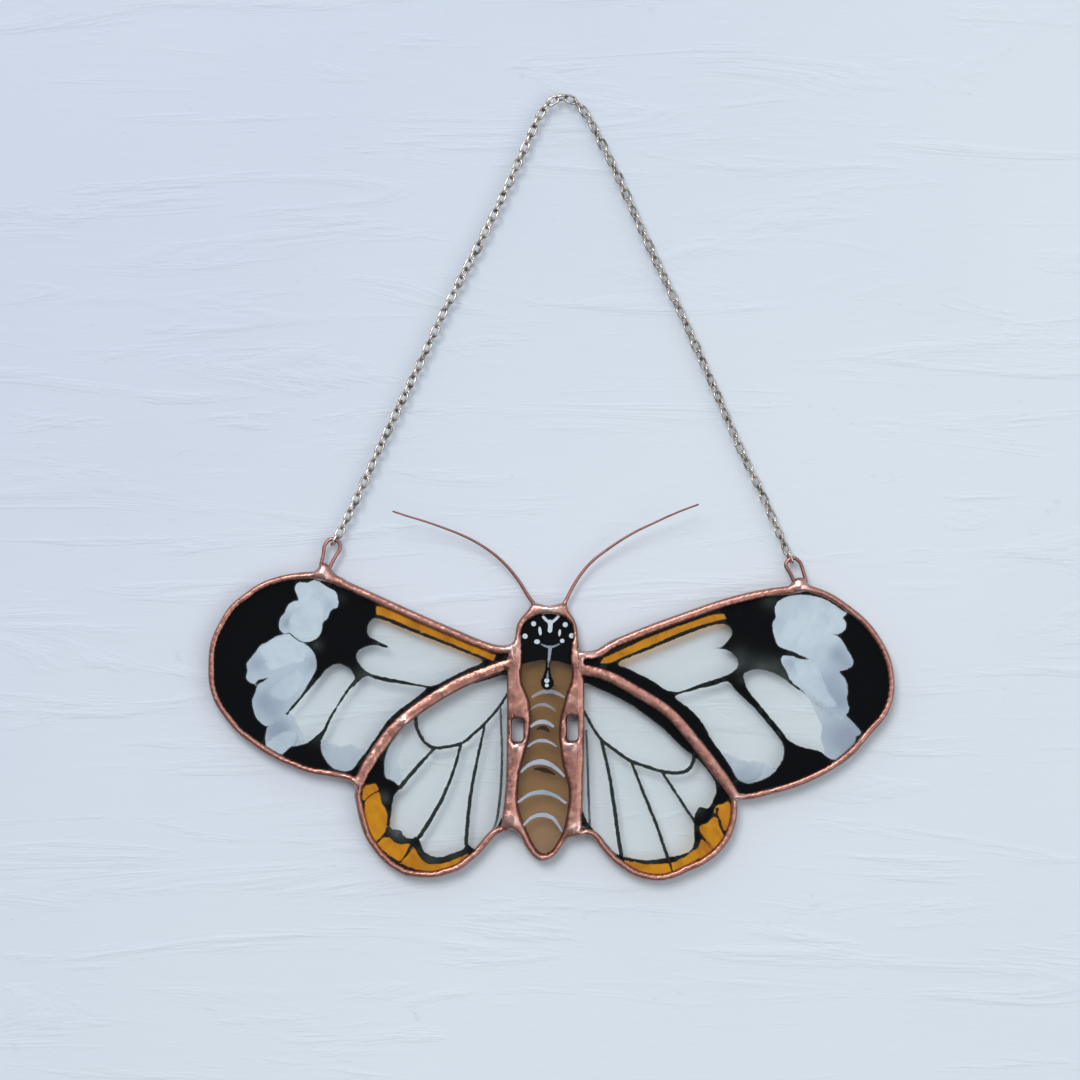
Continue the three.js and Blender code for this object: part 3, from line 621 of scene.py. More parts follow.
def spline(points, closed=False, step=0.5):
    """A smooth line through the points, with a point about every step millimetres."""
    p = np.array(points, float)
    n = len(p)
    made = []
    for i in range(n if closed else n - 1):
        b, c = p[i], p[(i + 1) % n]
        a = p[i - 1] if closed or i else 2 * b - c
        d = p[(i + 2) % n] if closed or i + 2 < n else 2 * c - b
        before, span, after = (max(np.linalg.norm(v) ** 0.5, 1e-3) for v in (b - a, c - b, d - c))
        leave = c - b + span * ((b - a) / before - (c - a) / (before + span))
        arrive = c - b + span * ((d - c) / after - (d - b) / (span + after))
        for t in np.arange(0, 1, 1 / max(1, round(np.linalg.norm(c - b) / step))):
            t2, t3 = t * t, t * t * t
            made.append(
                (2 * t3 - 3 * t2 + 1) * b + (t3 - 2 * t2 + t) * leave
                + (3 * t2 - 2 * t3) * c + (t3 - t2) * arrive
            )
    if not closed:
        made.append(p[-1])
    return np.array(made)


def area(loop):
    """The area inside the loop, negative where it runs clockwise."""
    x, z = loop.T
    return 0.5 * float(np.sum(x * np.roll(z, -1) - np.roll(x, -1) * z))


def outline(edges):
    """One counter-clockwise loop from edges of (points, lip), and the lip along each side."""
    points, lips = [], []
    for route, lip in edges:
        run = spline(route) if len(route) > 2 else np.array(route, float)
        if points and np.linalg.norm(run[0] - last) > np.linalg.norm(run[-1] - last):
            run = run[::-1]
        last = run[-1]
        points.extend(run[:-1])
        lips.extend([lip] * (len(run) - 1))
    loop, lips = np.array(points), np.array(lips)
    if area(loop) < 0:
        loop = loop[::-1]
        lips = np.roll(lips[::-1], -1)
    return loop, lips


def inset(loop, widths):
    """The loop moved inwards by each side's width, or outwards where that is negative."""
    along = np.roll(loop, -1, axis=0) - loop
    along /= np.maximum(np.linalg.norm(along, axis=1), 1e-9)[:, None]
    normal = np.column_stack([-along[:, 1], along[:, 0]])
    before, wide_before = np.roll(normal, 1, axis=0), np.roll(widths, 1)
    turn = before[:, 0] * normal[:, 1] - before[:, 1] * normal[:, 0]
    mean = before + normal
    mean /= np.linalg.norm(mean, axis=1)[:, None]
    moved = loop + mean * ((widths + wide_before) / 2)[:, None]
    sharp = np.abs(turn) > SHARP_TURN
    mitre = np.column_stack([
        wide_before * normal[:, 1] - widths * before[:, 1],
        before[:, 0] * widths - normal[:, 0] * wide_before,
    ])
    moved[sharp] = loop[sharp] + mitre[sharp] / turn[sharp][:, None]
    side = np.roll(loop, -1, axis=0) - loop
    offset = moved[:, None, :] - loop[None, :, :]
    t = np.clip((offset * side).sum(2) / np.maximum((side**2).sum(1), 1e-12), 0, 1)
    far = np.linalg.norm(offset - t[..., None] * side, axis=2)
    return moved[(far >= 0.9 * widths - 1e-6).all(axis=1)]


def grown(loop, width):
    """The loop moved out by the width, without the spikes of its sharpest corners."""
    moved = inset(loop if area(loop) > 0 else loop[::-1], np.full(len(loop), -width))
    near = np.linalg.norm(moved[:, None] - loop[None], axis=2).min(axis=1)
    return moved[near < SPIKE * abs(width)]


def within(points, loop):
    """Which of the points lie inside the loop."""
    inside = np.zeros(len(points), bool)
    x, z = points[:, 0], points[:, 1]
    for (ax, az), (bx, bz) in zip(loop, np.roll(loop, -1, axis=0)):
        if az != bz:
            crosses = (az > z) != (bz > z)
            inside ^= crosses & (x < (bx - ax) * (z - az) / (bz - az) + ax)
    return inside


def any_of(points, loops):
    """Which of the points lie inside at least one of the loops."""
    inside = np.zeros(len(points), bool)
    for loop in loops:
        inside |= within(points, loop)
    return inside


def arc(first, top, last):
    """A round line from first to last whose middle is at top."""
    p = np.array([first, top, last], float)
    pull = 2 * p[1] - (p[0] + p[2]) / 2
    t = np.linspace(0, 1, 7)[:, None]
    return (1 - t) ** 2 * p[0] + 2 * t * (1 - t) * pull + t**2 * p[2]


def ribbon(points, start, end, middle=None, step=0.4):
    """The outline of a brush line that runs from one width to another, with rounded ends."""
    run = spline(points, step=step)
    along = np.gradient(run, axis=0)
    along /= np.linalg.norm(along, axis=1)[:, None]
    across = np.column_stack([-along[:, 1], along[:, 0]])
    widths = [start, (start + end) / 2 if middle is None else middle, end]
    half = np.interp(np.linspace(0, 2, len(run)), [0, 1, 2], widths) / 2
    left, right = run + across * half[:, None], run - across * half[:, None]
    tip = run[-1] + along[-1] * half[-1] * 0.8
    tail = run[0] - along[0] * half[0] * 0.8
    return np.vstack([left, tip, right[::-1], tail])


def oval(x, z, rx, rz, lean=0.0):
    """An oval of two radii, which leans by an angle in radians."""
    a = np.linspace(0, 2 * np.pi, 20, endpoint=False)
    p = np.column_stack([rx * np.cos(a), rz * np.sin(a)])
    c, s = math.cos(lean), math.sin(lean)
    return p @ np.array([[c, s], [-s, c]]) + (x, z)


def slot_outline(left, top, right, bottom, corner=0.9):
    """A rectangle with round corners."""
    ring = []
    for cx, cz, turn in (
        (right - corner, top - corner, 0), (left + corner, top - corner, 90),
        (left + corner, bottom + corner, 180), (right - corner, bottom + corner, 270),
    ):
        for a in np.radians(np.arange(turn, turn + 91, 18)):
            ring.append((cx + corner * math.cos(a), cz + corner * math.sin(a)))
    return np.array(ring)


# Flat regions and the solids made from them.
SAMPLE = 0.12  # between the places that a border is sampled at
BESIDE = 0.03  # from a line to where its two sides are looked at
ROW_HEIGHT = 0.866  # of a grid of even triangles, by their side
TINY = 1e-7  # an area or a distance that counts as none
RISE_ROUNDS = 500
SMOOTH_ROUNDS = 6


class Sheet:
    """A triangulated flat region: where keep(points) holds, cut along the loops.

    spacing is the grid's, and rings are distances from the border that get points of their own.
    """

    def __init__(self, loops, keep, spacing, rings):
        starts, normals = self.sample(loops, keep)
        tree = kdtree.KDTree(len(starts))
        for i, (x, z) in enumerate(starts):
            tree.insert((x, z, 0), i)
        tree.balance()
        self.gap = lambda p: np.array([tree.find((x, z, 0))[2] for x, z in p])
        inner = []
        for ring in rings:
            every = max(1, round(min(spacing, 0.25 + ring) / SAMPLE))
            for way in (1, -1):
                q = starts[::every] + way * ring * normals[::every]
                q = q[keep(q)]
                inner.append(q[self.gap(q) > 0.93 * ring])
        lo, hi = starts.min(axis=0), starts.max(axis=0)
        xs = np.arange(lo[0], hi[0], spacing)
        zs = np.arange(lo[1], hi[1], spacing * ROW_HEIGHT)
        grid = np.array([(x + (j % 2) * spacing / 2, z) for j, z in enumerate(zs) for x in xs])
        grid = grid[keep(grid)]
        inner.append(grid[self.gap(grid) > rings[-1] + 0.5 * spacing])
        self.triangulate(loops, keep, np.vstack(inner))

    def sample(self, loops, keep):
        """Close places along the region's border, and the direction across it at each."""
        starts, normals = [], []
        for loop in loops:
            side = np.roll(loop, -1, axis=0) - loop
            length = np.linalg.norm(side, axis=1)
            for a, s, l in zip(loop, side, length):
                if l > 1e-6:
                    for t in np.arange(0, 1, SAMPLE / l):
                        starts.append(a + t * s)
                        normals.append((-s[1] / l, s[0] / l))
        starts, normals = np.array(starts), np.array(normals)
        real = keep(starts + BESIDE * normals) != keep(starts - BESIDE * normals)
        return starts[real], normals[real]

    def triangulate(self, loops, keep, inner):
        """Fills the region with triangles that face one way, and finds their edges."""
        points, edges = [], []
        for loop in loops:
            first = len(points)
            points.extend(loop)
            edges.extend((first + i, first + (i + 1) % len(loop)) for i in range(len(loop)))
        flat = [Vector((float(x), float(z))) for x, z in [*points, *inner]]
        made = geometry.delaunay_2d_cdt(flat, edges, [], 0, 1e-4)
        v = np.array([tuple(p) for p in made[0]])
        f = np.array([tuple(t) for t in made[2] if len(t) == 3])
        f = f[keep(v[f].mean(axis=1))]
        a, b, c = v[f[:, 0]], v[f[:, 1]], v[f[:, 2]]
        across, up = b - a, c - a
        size = across[:, 0] * up[:, 1] - across[:, 1] * up[:, 0]
        f[size < 0] = f[size < 0][:, ::-1]
        f = f[np.abs(size) > TINY]
        used, f = np.unique(f, return_inverse=True)
        self.points, self.faces = v[used], f.reshape(-1, 3)
        sides = np.vstack([self.faces[:, [0, 1]], self.faces[:, [1, 2]], self.faces[:, [2, 0]]])
        low = np.sort(sides, axis=1)
        _, where, counts = np.unique(low, axis=0, return_index=True, return_counts=True)
        self.edges = low[where]
        self.border = sides[where[counts == 1]]

    def rise(self):
        """The height of a round bead over each point: none at the border, most in the middle."""
        n = len(self.points)
        a, b = self.edges.T
        square = ((self.points[a] - self.points[b]) ** 2).sum(axis=1)
        degree = np.bincount(a, minlength=n) + np.bincount(b, minlength=n)
        step = np.bincount(a, square, n) + np.bincount(b, square, n)
        step = 0.5 * step / degree
        free = np.ones(n)
        free[np.unique(self.border)] = 0
        u = np.zeros(n)

        def around(values):
            return (np.bincount(a, values[b], n) + np.bincount(b, values[a], n)) / degree

        for _ in range(RISE_ROUNDS):
            u = (around(u) + step) * free
        u = np.sqrt(u)
        for _ in range(SMOOTH_ROUNDS):
            u += 0.5 * free * (around(u) - u)
        return u


def mesh_object(name, vertices, faces, smooth=True):
    """A new object at the origin, with vertices in metres."""
    mesh = bpy.data.meshes.new(name)
    mesh.from_pydata([tuple(v) for v in vertices], [], [tuple(map(int, f)) for f in faces])
    mesh.validate()
    mesh.polygons.foreach_set("use_smooth", [smooth] * len(mesh.polygons))
    obj = bpy.data.objects.new(name, mesh)
    bpy.context.scene.collection.objects.link(obj)
    return obj


def give(obj, name, values):
    """A value for each vertex, which the material reads by name."""
    layer = obj.data.attributes.new(name, "FLOAT", "POINT")
    layer.data.foreach_set("value", np.asarray(values, np.float32))


def closed_sheet(name, sheet, front, back, smooth=True):
    """A closed solid between two heights for each point of the sheet."""
    n = len(sheet.points)
    front, back = np.broadcast_to(front, n), np.broadcast_to(back, n)
    x, z = sheet.points.T * MM
    top = np.column_stack([x, -front * MM, z])
    low = np.column_stack([x, -back * MM, z])
    walls = [(a, a + n, b + n, b) for a, b in sheet.border]
    faces = [*sheet.faces, *(sheet.faces[:, ::-1] + n), *walls]
    return mesh_object(name, np.vstack([top, low]), faces, smooth)


def select_only(obj):
    bpy.ops.object.select_all(action="DESELECT")
    obj.select_set(True)
    bpy.context.view_layer.objects.active = obj


def finish_piece(obj, material, slot, *nodes):
    """Gives a piece its finish and its place in the frame."""
    obj.data.materials.clear()
    obj.data.materials.append(material)
    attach(obj, "root")
    if nodes:
        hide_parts(*nodes)


def wire(name, points, radii):
    """A round wire through points of (x, y, z), with its thickness at each of them."""
    curve = bpy.data.curves.new(name, "CURVE")
    curve.dimensions = "3D"
    curve.bevel_depth = MM
    curve.bevel_resolution = 3
    curve.use_fill_caps = True
    curve.resolution_u = 4
    line = curve.splines.new("NURBS")
    line.points.add(len(points) - 1)
    for point, place, radius in zip(line.points, points, radii):
        point.co = (*(c * MM for c in place), 1)
        point.radius = radius
    line.use_endpoint_u = True
    line.order_u = 4
    obj = bpy.data.objects.new(name, curve)
    bpy.context.scene.collection.objects.link(obj)
    select_only(obj)
    bpy.ops.object.convert(target="MESH")
    obj = bpy.context.view_layer.objects.active
    bpy.ops.object.shade_smooth()
    return obj


# What is made from the lines above.
NECK_MARKS = [  # the faint collar and the broken light line down the neck
    (arc((-5.8, -127.8), (-3.6, -128.6), (-1.2, -127.8)), 0.5, 0.5, 0.75),
    ([(-3.5, -128.7), (-3.7, -130.6), (-3.9, -132)], 1.05, 0.7),
    ([(-3.8, -131.3), (-3.9, -132.4)], 0.65, 0.5), ([(-3.9, -132.7), (-4.1, -133.6)], 0.55, 0.45),
    ([(-4, -134), (-4.1, -134.8)], 0.5, 0.45), ([(-4.1, -135), (-4.2, -136.2)], 0.55, 0.6),
]
BANDS = [
    (arc((-7.8, -140.4), (-4.1, -139), (-0.2, -140.4)), 0.7, 0.7, 1.3),
    (arc((-8.1, -143.3), (-5.2, -142.1), (-2, -143.8)), 0.55, 0.45, 1.0),
    (arc((-8.1, -147.3), (-5.4, -146.1), (-2.7, -147.3)), 0.75, 0.75, 1.25),
    (arc((-8.7, -151.9), (-5.4, -150.5), (-1.9, -152)), 0.7, 0.4, 1.0),
    (arc((-10.4, -157.9), (-5.5, -155.5), (-0.2, -158.9)), 0.7, 0.65, 1.5),
    (arc((-11.2, -165.1), (-5.6, -162.6), (0.2, -165.2)), 0.7, 0.7, 1.3),
    (
        [
            (-9.8, -170.4), (-7.8, -168.5), (-5.3, -167.9), (-3, -168.6), (-1.9, -169.9),
            (-0.7, -171.8),
        ],
        0.7, 0.6, 1.25,
    ),
]
DARK_BANDS = [
    (arc((-6.6, -148), (-5.3, -147.5), (-3.8, -148.4)), 0.6, 0.6, 1.25),
    (arc((-7.3, -157.1), (-4.9, -157.4), (-2.4, -158.5)), 0.6, 0.6, 1.3),
]
PANES = {  # each edge with the bead's width along it
    "upper_left_wing": [
        (RIM_UPPER_LEFT, WING_LIP), (TOP_LEFT, TOP_LIP), ([SIDE_LEFT[0], SEAM_LEFT[0]], BODY_LIP),
        (SEAM_LEFT, SEAM_LIP),
    ],
    "lower_left_wing": [
        (RIM_LOWER_LEFT, WING_LIP), (SEAM_LEFT, SEAM_LIP),
        ([SEAM_LEFT[0], *SIDE_LEFT[1:]], BODY_LIP),
    ],
    "upper_right_wing": [
        (RIM_UPPER_RIGHT, WING_LIP), (SEAM_RIGHT, SEAM_LIP),
        ([SEAM_RIGHT[0], SIDE_RIGHT[-1]], BODY_LIP), (TOP_RIGHT, TOP_LIP),
    ],
    "lower_right_wing": [
        (RIM_LOWER_RIGHT, WING_LIP), ([*SIDE_RIGHT[:-1], SEAM_RIGHT[0]], BODY_LIP),
        (SEAM_RIGHT, SEAM_LIP),
    ],
    "body": [(HEAD, 0), (SIDE_LEFT, 0), (TAIL, 0), (SIDE_RIGHT, 0)],
}

OPENINGS = {name: inset(*outline(edges)) for name, edges in PANES.items() if name != "body"}
OPENINGS["body"] = spline(BODY_OPENING, True)
AMBER = {f"upper_{side}_wing": [np.vstack([spline(top), spline(bottom)])]
         for side, (top, bottom) in AMBER_STRIPS.items()}
AMBER.update({f"lower_{side}_wing": [spline(lobe, True) for lobe in lobes]
              for side, lobes in AMBER_LOBES.items()})


# Materials.
def feed(tree, socket, value):
    """Gives a socket its value, or links it to the socket that has it."""
    if isinstance(value, bpy.types.NodeSocket):
        tree.links.new(value, socket)
    elif value is not None:
        socket.default_value = value


def node(tree, kind, settings=None, **inputs):
    """A shader node with its settings, and its inputs set or linked by name."""
    made = tree.nodes.new(kind)
    for key, value in (settings or {}).items():
        setattr(made, key, value)
    for key, value in inputs.items():
        feed(tree, made.inputs[key.replace("_", " ")], value)
    return made


def join(tree, factor, first, second):
    """The first shader where factor is 0 and the second where it is 1."""
    mix = tree.nodes.new("ShaderNodeMixShader")
    for socket, value in zip(mix.inputs, (factor, first.outputs[0], second.outputs[0])):
        feed(tree, socket, value)
    return mix.outputs[0]


def calc(tree, operation, *values, clamp=False):
    """A Math node."""
    made = tree.nodes.new("ShaderNodeMath")
    made.operation = operation
    made.use_clamp = clamp
    for socket, value in zip(made.inputs, values):
        feed(tree, socket, value)
    return made.outputs[0]


def between(tree, amount, low, high):
    """0 at low and 1 at high, with a soft step between."""
    made = node(tree, "ShaderNodeMapRange", {"interpolation_type": "SMOOTHSTEP"},
                Value=amount, From_Min=low, From_Max=high)
    return made.outputs["Result"]


def blend(tree, amount, first, second):
    """The first colour where amount is 0 and the second where it is 1."""
    made = tree.nodes.new("ShaderNodeMix")
    made.data_type = "RGBA"
    feed(tree, made.inputs["Factor"], amount)
    feed(tree, made.inputs[6], first)
    feed(tree, made.inputs[7], second)
    return made.outputs[2]


def grain(tree, vector, scale, detail=3.0, roughness=0.55, distortion=0.0):
    """Cloudy noise, about 0.5 on average."""
    made = node(tree, "ShaderNodeTexNoise", None, Vector=vector, Scale=scale, Detail=detail,
                Roughness=roughness, Distortion=distortion)
    return made.outputs["Fac"]


def attribute(tree, name):
    return node(tree, "ShaderNodeAttribute", {"attribute_name": name}).outputs["Fac"]


def place(tree):
    """Where a point lies, in metres."""
    return tree.nodes.new("ShaderNodeTexCoord").outputs["Object"]


def new_group(name, inputs, outputs):
    """A node group with sockets: inputs of (name, kind, default), outputs of (name, kind)."""
    tree = bpy.data.node_groups.new(name, "ShaderNodeTree")
    for label, kind, default in inputs:
        socket = tree.interface.new_socket(label, in_out="INPUT", socket_type="NodeSocket" + kind)
        socket.default_value = default
    for label, kind in outputs:
        tree.interface.new_socket(label, in_out="OUTPUT", socket_type="NodeSocket" + kind)
    return tree, tree.nodes.new("NodeGroupInput").outputs, tree.nodes.new("NodeGroupOutput").inputs


def brush_group():
    """Streaks that a brush leaves, along one direction, and broad uneven patches."""
    tree, given, put = new_group(
        "brush_strokes",
        [("Turn", "Vector", (0, 0, 0)), ("Stroke Size", "Float", 700.0), ("Length", "Float", 6.0)],
        [("Streaks", "Float"), ("Patches", "Float")],
    )
    squeeze = node(tree, "ShaderNodeCombineXYZ", None, X=1.0, Y=1.0)
    feed(tree, squeeze.inputs["Z"], calc(tree, "DIVIDE", 1.0, given["Length"]))
    turned = node(tree, "ShaderNodeMapping", None, Vector=place(tree), Rotation=given["Turn"])
    scaled = node(tree, "ShaderNodeVectorMath", {"operation": "MULTIPLY"})
    feed(tree, scaled.inputs[0], turned.outputs[0])
    feed(tree, scaled.inputs[1], squeeze.outputs[0])
    streaks = grain(tree, scaled.outputs[0], given["Stroke Size"], 4.0, 0.6, 0.4)
    feed(tree, put["Streaks"], streaks)
    feed(tree, put["Patches"], grain(tree, place(tree), 190.0, 3.0, 0.55, 0.6))
    return tree


def border_group():
    """How far paint covers towards its ragged border, from the edge attribute in millimetres."""
    tree, given, put = new_group(
        "ragged_border",
        [("Raggedness", "Float", 0.3), ("Softness", "Float", 0.15)],
        [("Cover", "Float")],
    )
    rough = calc(tree, "SUBTRACT", grain(tree, place(tree), 900.0, 5.0, 0.7), 0.62)
    shifted = calc(tree, "MULTIPLY_ADD", rough, given["Raggedness"], attribute(tree, "edge"))
    feed(tree, put["Cover"], calc(tree, "DIVIDE", shifted, given["Softness"], clamp=True))
    return tree


def copper_group():
    """Solder with a copper finish: rosy with mottled tarnish, darker towards the bead's edges as
    painted shade, and lighter on its crown with rubbed spots and a painted highlight where it
    pooled.
    """
    tree, given, put = new_group(
        "copper_finish",
        [
            ("Copper", "Color", (0.6, 0.3, 0.22, 1)), ("Dark", "Color", (0.2, 0.08, 0.05, 1)),
            ("Bright", "Color", (0.9, 0.75, 0.66, 1)), ("Crown", "Float", 0.5),
            ("Pool", "Float", 0.0),
        ],
        [("Color", "Color"), ("Roughness", "Float"), ("Height", "Float")],
    )
    spot = place(tree)
    cloud = grain(tree, spot, 260.0, 4.0, 0.6, 0.8)
    fine = grain(tree, spot, 2200.0, 3.0, 0.65)
    marks = between(tree, grain(tree, spot, 1100.0, 4.0, 0.7, 2.0), 0.55, 0.7)
    fleck = grain(tree, spot, 480.0, 4.0, 0.62, 1.2)
    tarnish = calc(tree, "MULTIPLY", between(tree, cloud, 0.5, 0.75), 0.55)
    # Painted shade: the copper darkens towards the bead's edges, where the crown is low, on top of
    # the tarnish.
    low = calc(tree, "SUBTRACT", 1.0, between(tree, given["Crown"], 0.1, 0.75))
    tarnish = calc(tree, "MULTIPLY_ADD", marks, 0.35, tarnish)
    tarnish_and_shade = calc(tree, "MAXIMUM", tarnish, calc(tree, "MULTIPLY", low, 0.8), clamp=True)
    base = blend(tree, tarnish_and_shade, given["Copper"], given["Dark"])
    # Rubbed spots and the painted highlight of pooled solder, both kept to the bead's crown.
    rub = calc(tree, "MULTIPLY", between(tree, fleck, 0.5, 0.72), 0.28)
    shine = calc(tree, "MAXIMUM", rub, calc(tree, "MULTIPLY", given["Pool"], 0.75))
    shine = calc(tree, "MULTIPLY", shine, between(tree, given["Crown"], 0.35, 0.8))
    feed(tree, put["Color"], blend(tree, shine, base, given["Bright"]))
    rough = calc(tree, "MULTIPLY_ADD", cloud, 0.26, 0.22)
    feed(tree, put["Roughness"], calc(tree, "MULTIPLY_ADD", shine, -0.2, rough))
    feed(tree, put["Height"], calc(tree, "MULTIPLY_ADD", fine, 0.25, cloud))
    return tree


def group(tree, name, **inputs):
    """The named shared effect, placed in a material with its own values."""
    makers = {"brush_strokes": brush_group, "ragged_border": border_group,
              "copper_finish": copper_group}
    effect = bpy.data.node_groups.get(name) or makers[name]()
    return node(tree, "ShaderNodeGroup", {"node_tree": effect}, **inputs).outputs


def new_material(name):
    """A material, its nodes and the socket that its shader goes to."""
    material = bpy.data.materials.new(name)
    material.use_nodes = True
    tree = material.node_tree
    tree.nodes.clear()
    return material, tree, node(tree, "ShaderNodeOutputMaterial").inputs["Surface"]


def let_light_through(tree, surface, shader, colour):
    """Lets lamps and bounced light through the shader, tinted, so that the wall behind is lit."""
    path = tree.nodes.new("ShaderNodeLightPath").outputs
    passing = calc(tree, "MAXIMUM", path["Is Shadow Ray"], path["Is Diffuse Ray"])
    clear = node(tree, "ShaderNodeBsdfTransparent", None, Color=colour)
    feed(tree, surface, join(tree, passing, shader, clear))


def bump(tree, height, strength, distance):
    return node(tree, "ShaderNodeBump", None, Height=height, Strength=strength,
                Distance=distance).outputs["Normal"]


def copper_material(name, colours, crown, pool=None):
    """crown is a number or an attribute's name, and pool the name of the attribute for the painted
    highlight of pooled solder.
    """
    material, tree, surface = new_material(name)
    out = group(tree, "copper_finish", Copper=colours.copper, Dark=colours.copper_tarnish_and_shade,
                Bright=colours.copper_rubbed_and_highlight,
                Crown=attribute(tree, crown) if isinstance(crown, str) else crown,
                Pool=attribute(tree, pool) if pool else 0.0)
    shader = node(tree, "ShaderNodeBsdfPrincipled", None, Base_Color=out["Color"], Metallic=1.0,
                  Roughness=out["Roughness"], Normal=bump(tree, out["Height"], 0.25, 0.00009))
    feed(tree, surface, shader.outputs[0])
    return material


def glass_material(name, colour, roughness, wave, low=None):
    """Glass with a slight wave. low is its tint at the foot of the body."""
    material, tree, surface = new_material(name)
    if low:
        across = node(tree, "ShaderNodeSeparateXYZ", None, Vector=place(tree)).outputs
        colour = blend(tree, between(tree, across["Z"], -0.15, -0.182), colour, low)
    ripple = grain(tree, place(tree), 60.0, 2.0, 0.5, 0.3)
    shader = node(tree, "ShaderNodeBsdfPrincipled", None, Base_Color=colour, Roughness=roughness,
                  IOR=1.5, Transmission_Weight=1.0, Normal=bump(tree, ripple, wave, 0.0006))
    let_light_through(tree, surface, shader, colour)
    return material


def paint_material(name, colours, turn=0.0, stroke=700.0, length=6.0, ragged=0.3, soft=0.15,
                   thin=0.0, fringe=0.0, roughness=0.4, shine=0.5, glow=None):
    """Brushed paint. colours are the usual one, the one where the brush left little, and the one
    that the tone attribute calls for. thin is how much the streaks let through, fringe how far the
    tone reaches in from the border, in millimetres, and glow the light that passes."""
    material, tree, surface = new_material(name)
    brush = group(tree, "brush_strokes", Turn=(0, math.radians(turn), 0), Stroke_Size=stroke,
                  Length=length)
    border = group(tree, "ragged_border", Raggedness=ragged, Softness=soft)["Cover"]
    streak = between(tree, brush["Streaks"], 0.34, 0.7)
    patch = between(tree, brush["Patches"], 0.36, 0.7)
    mixed = blend(tree, calc(tree, "MULTIPLY", calc(tree, "ADD", streak, patch), 0.5),
                  colours[0], colours[1])
    tone = attribute(tree, "tone")
    if fringe:
        rim = calc(tree, "DIVIDE", attribute(tree, "edge"), fringe, clamp=True)
        tone = calc(tree, "MAXIMUM", tone, calc(tree, "MULTIPLY_ADD", rim, -0.7, 0.7))
    tinted = blend(tree, tone, mixed, colours[2])
    gaps = calc(tree, "MULTIPLY", calc(tree, "SUBTRACT", 1.0, streak), thin)
    cover = calc(tree, "MULTIPLY", attribute(tree, "cover"), calc(tree, "SUBTRACT", 1.0, gaps))
    height = calc(tree, "MULTIPLY_ADD", border, 0.05, brush["Streaks"])
    shader = node(tree, "ShaderNodeBsdfPrincipled", None, Base_Color=tinted, Roughness=roughness,
                  Specular_IOR_Level=shine, Alpha=calc(tree, "MULTIPLY", border, cover),
                  Normal=bump(tree, height, 0.5, 0.00008))
    if glow:
        let_light_through(tree, surface, shader, glow)
    else:
        feed(tree, surface, shader.outputs[0])
    return material


def chain_material(colours):
    material, tree, surface = new_material("chain_plating")
    cloud = grain(tree, place(tree), 420.0, 3.0, 0.6)
    fine = grain(tree, place(tree), 3000.0, 2.0, 0.5)
    colour = blend(tree, between(tree, cloud, 0.42, 0.68), colours.chain, colours.chain_dark)
    shader = node(tree, "ShaderNodeBsdfPrincipled", None, Base_Color=colour, Metallic=1.0,
                  Roughness=calc(tree, "MULTIPLY_ADD", fine, 0.2, 0.12),
                  Normal=bump(tree, fine, 0.15, 0.00005))
    feed(tree, surface, shader.outputs[0])
    return material


def wall_material(colours):
    """Pale brushed paint with small chips, and painted shade that makes it darker and bluer
    towards the upper left. Seen from behind, the wall isn't there.
    """
    material, tree, surface = new_material("painted_wall")
    stretch = node(tree, "ShaderNodeMapping", None, Vector=place(tree), Scale=(0.16, 1, 1))
    brushed = grain(tree, stretch.outputs[0], 300.0, 6.0, 0.62, 0.8)
    ridges = between(tree, grain(tree, stretch.outputs[0], 75.0, 5.0, 0.6, 1.5), 0.5, 0.72)
    wide = node(tree, "ShaderNodeMapping", None, Vector=place(tree), Scale=(0.5, 1, 1))
    chips = between(tree, grain(tree, wide.outputs[0], 210.0, 6.0, 0.75, 1.0), 0.66, 0.7)
    height = calc(tree, "MULTIPLY_ADD", brushed, 0.35, ridges)
    height = calc(tree, "MULTIPLY_ADD", chips, -0.8, height)
    across = node(tree, "ShaderNodeSeparateXYZ", None, Vector=place(tree)).outputs
    # Painted shade: the wall grows darker and bluer towards the upper left, with broad patches at
    # random.
    slope = between(tree, calc(tree, "SUBTRACT", across["Y"], across["X"]), -0.12, 0.22)
    shade = calc(tree, "MULTIPLY_ADD", grain(tree, place(tree), 12.0, 4.0, 0.5), 0.5,
                 calc(tree, "MULTIPLY_ADD", slope, 0.8, -0.15), clamp=True)
    colour = blend(tree, shade, colours.wall, colours.wall_shade_and_chips)
    colour = blend(tree, calc(tree, "MULTIPLY", chips, 0.25), colour, colours.wall_shade_and_chips)
    shader = node(tree, "ShaderNodeBsdfPrincipled", None, Base_Color=colour, Roughness=0.6,
                  Specular_IOR_Level=0.25, Normal=bump(tree, height, 0.32, 0.0006))
    behind = node(tree, "ShaderNodeNewGeometry").outputs["Backfacing"]
    feed(tree, surface, join(tree, behind, shader, node(tree, "ShaderNodeBsdfTransparent")))
    return material


# What a user would change.
def length_property(name, description, default):
    return bpy.props.FloatProperty(
        name=name, description=description, default=default, unit="LENGTH", precision=5)


def colour_property(name, description, default):
    return bpy.props.FloatVectorProperty(
        name=name, description=description, default=(*default, 1.0), size=4, subtype="COLOR",
        min=0.0, max=1.0)


class ButterflySizes(bpy.types.PropertyGroup):
    """Sizes of the pieces that the CAD nodes don't fix."""

    link_pitch: length_property("Link pitch", "Chain length taken by one link", 0.00218)
    link_width: length_property("Link width", "Outside width of a chain link", 0.0023)
    link_wire: length_property("Link wire", "Thickness of the wire of a chain link", 0.0006)
    bead_rise: length_property("Bead rise", "Most that the solder stands above the glass", 0.0015)
    loop_wire: length_property("Loop wire", "Thickness of the two hanging wires", 0.0009)
    antenna_root: length_property("Antenna root", "Thickness of an antenna at the head", 0.001)
    antenna_tip: length_property("Antenna tip", "Thickness of an antenna at its tip", 0.00042)
    wall_gap: length_property("Wall gap", "From the middle of the glass to the wall", 0.0029)


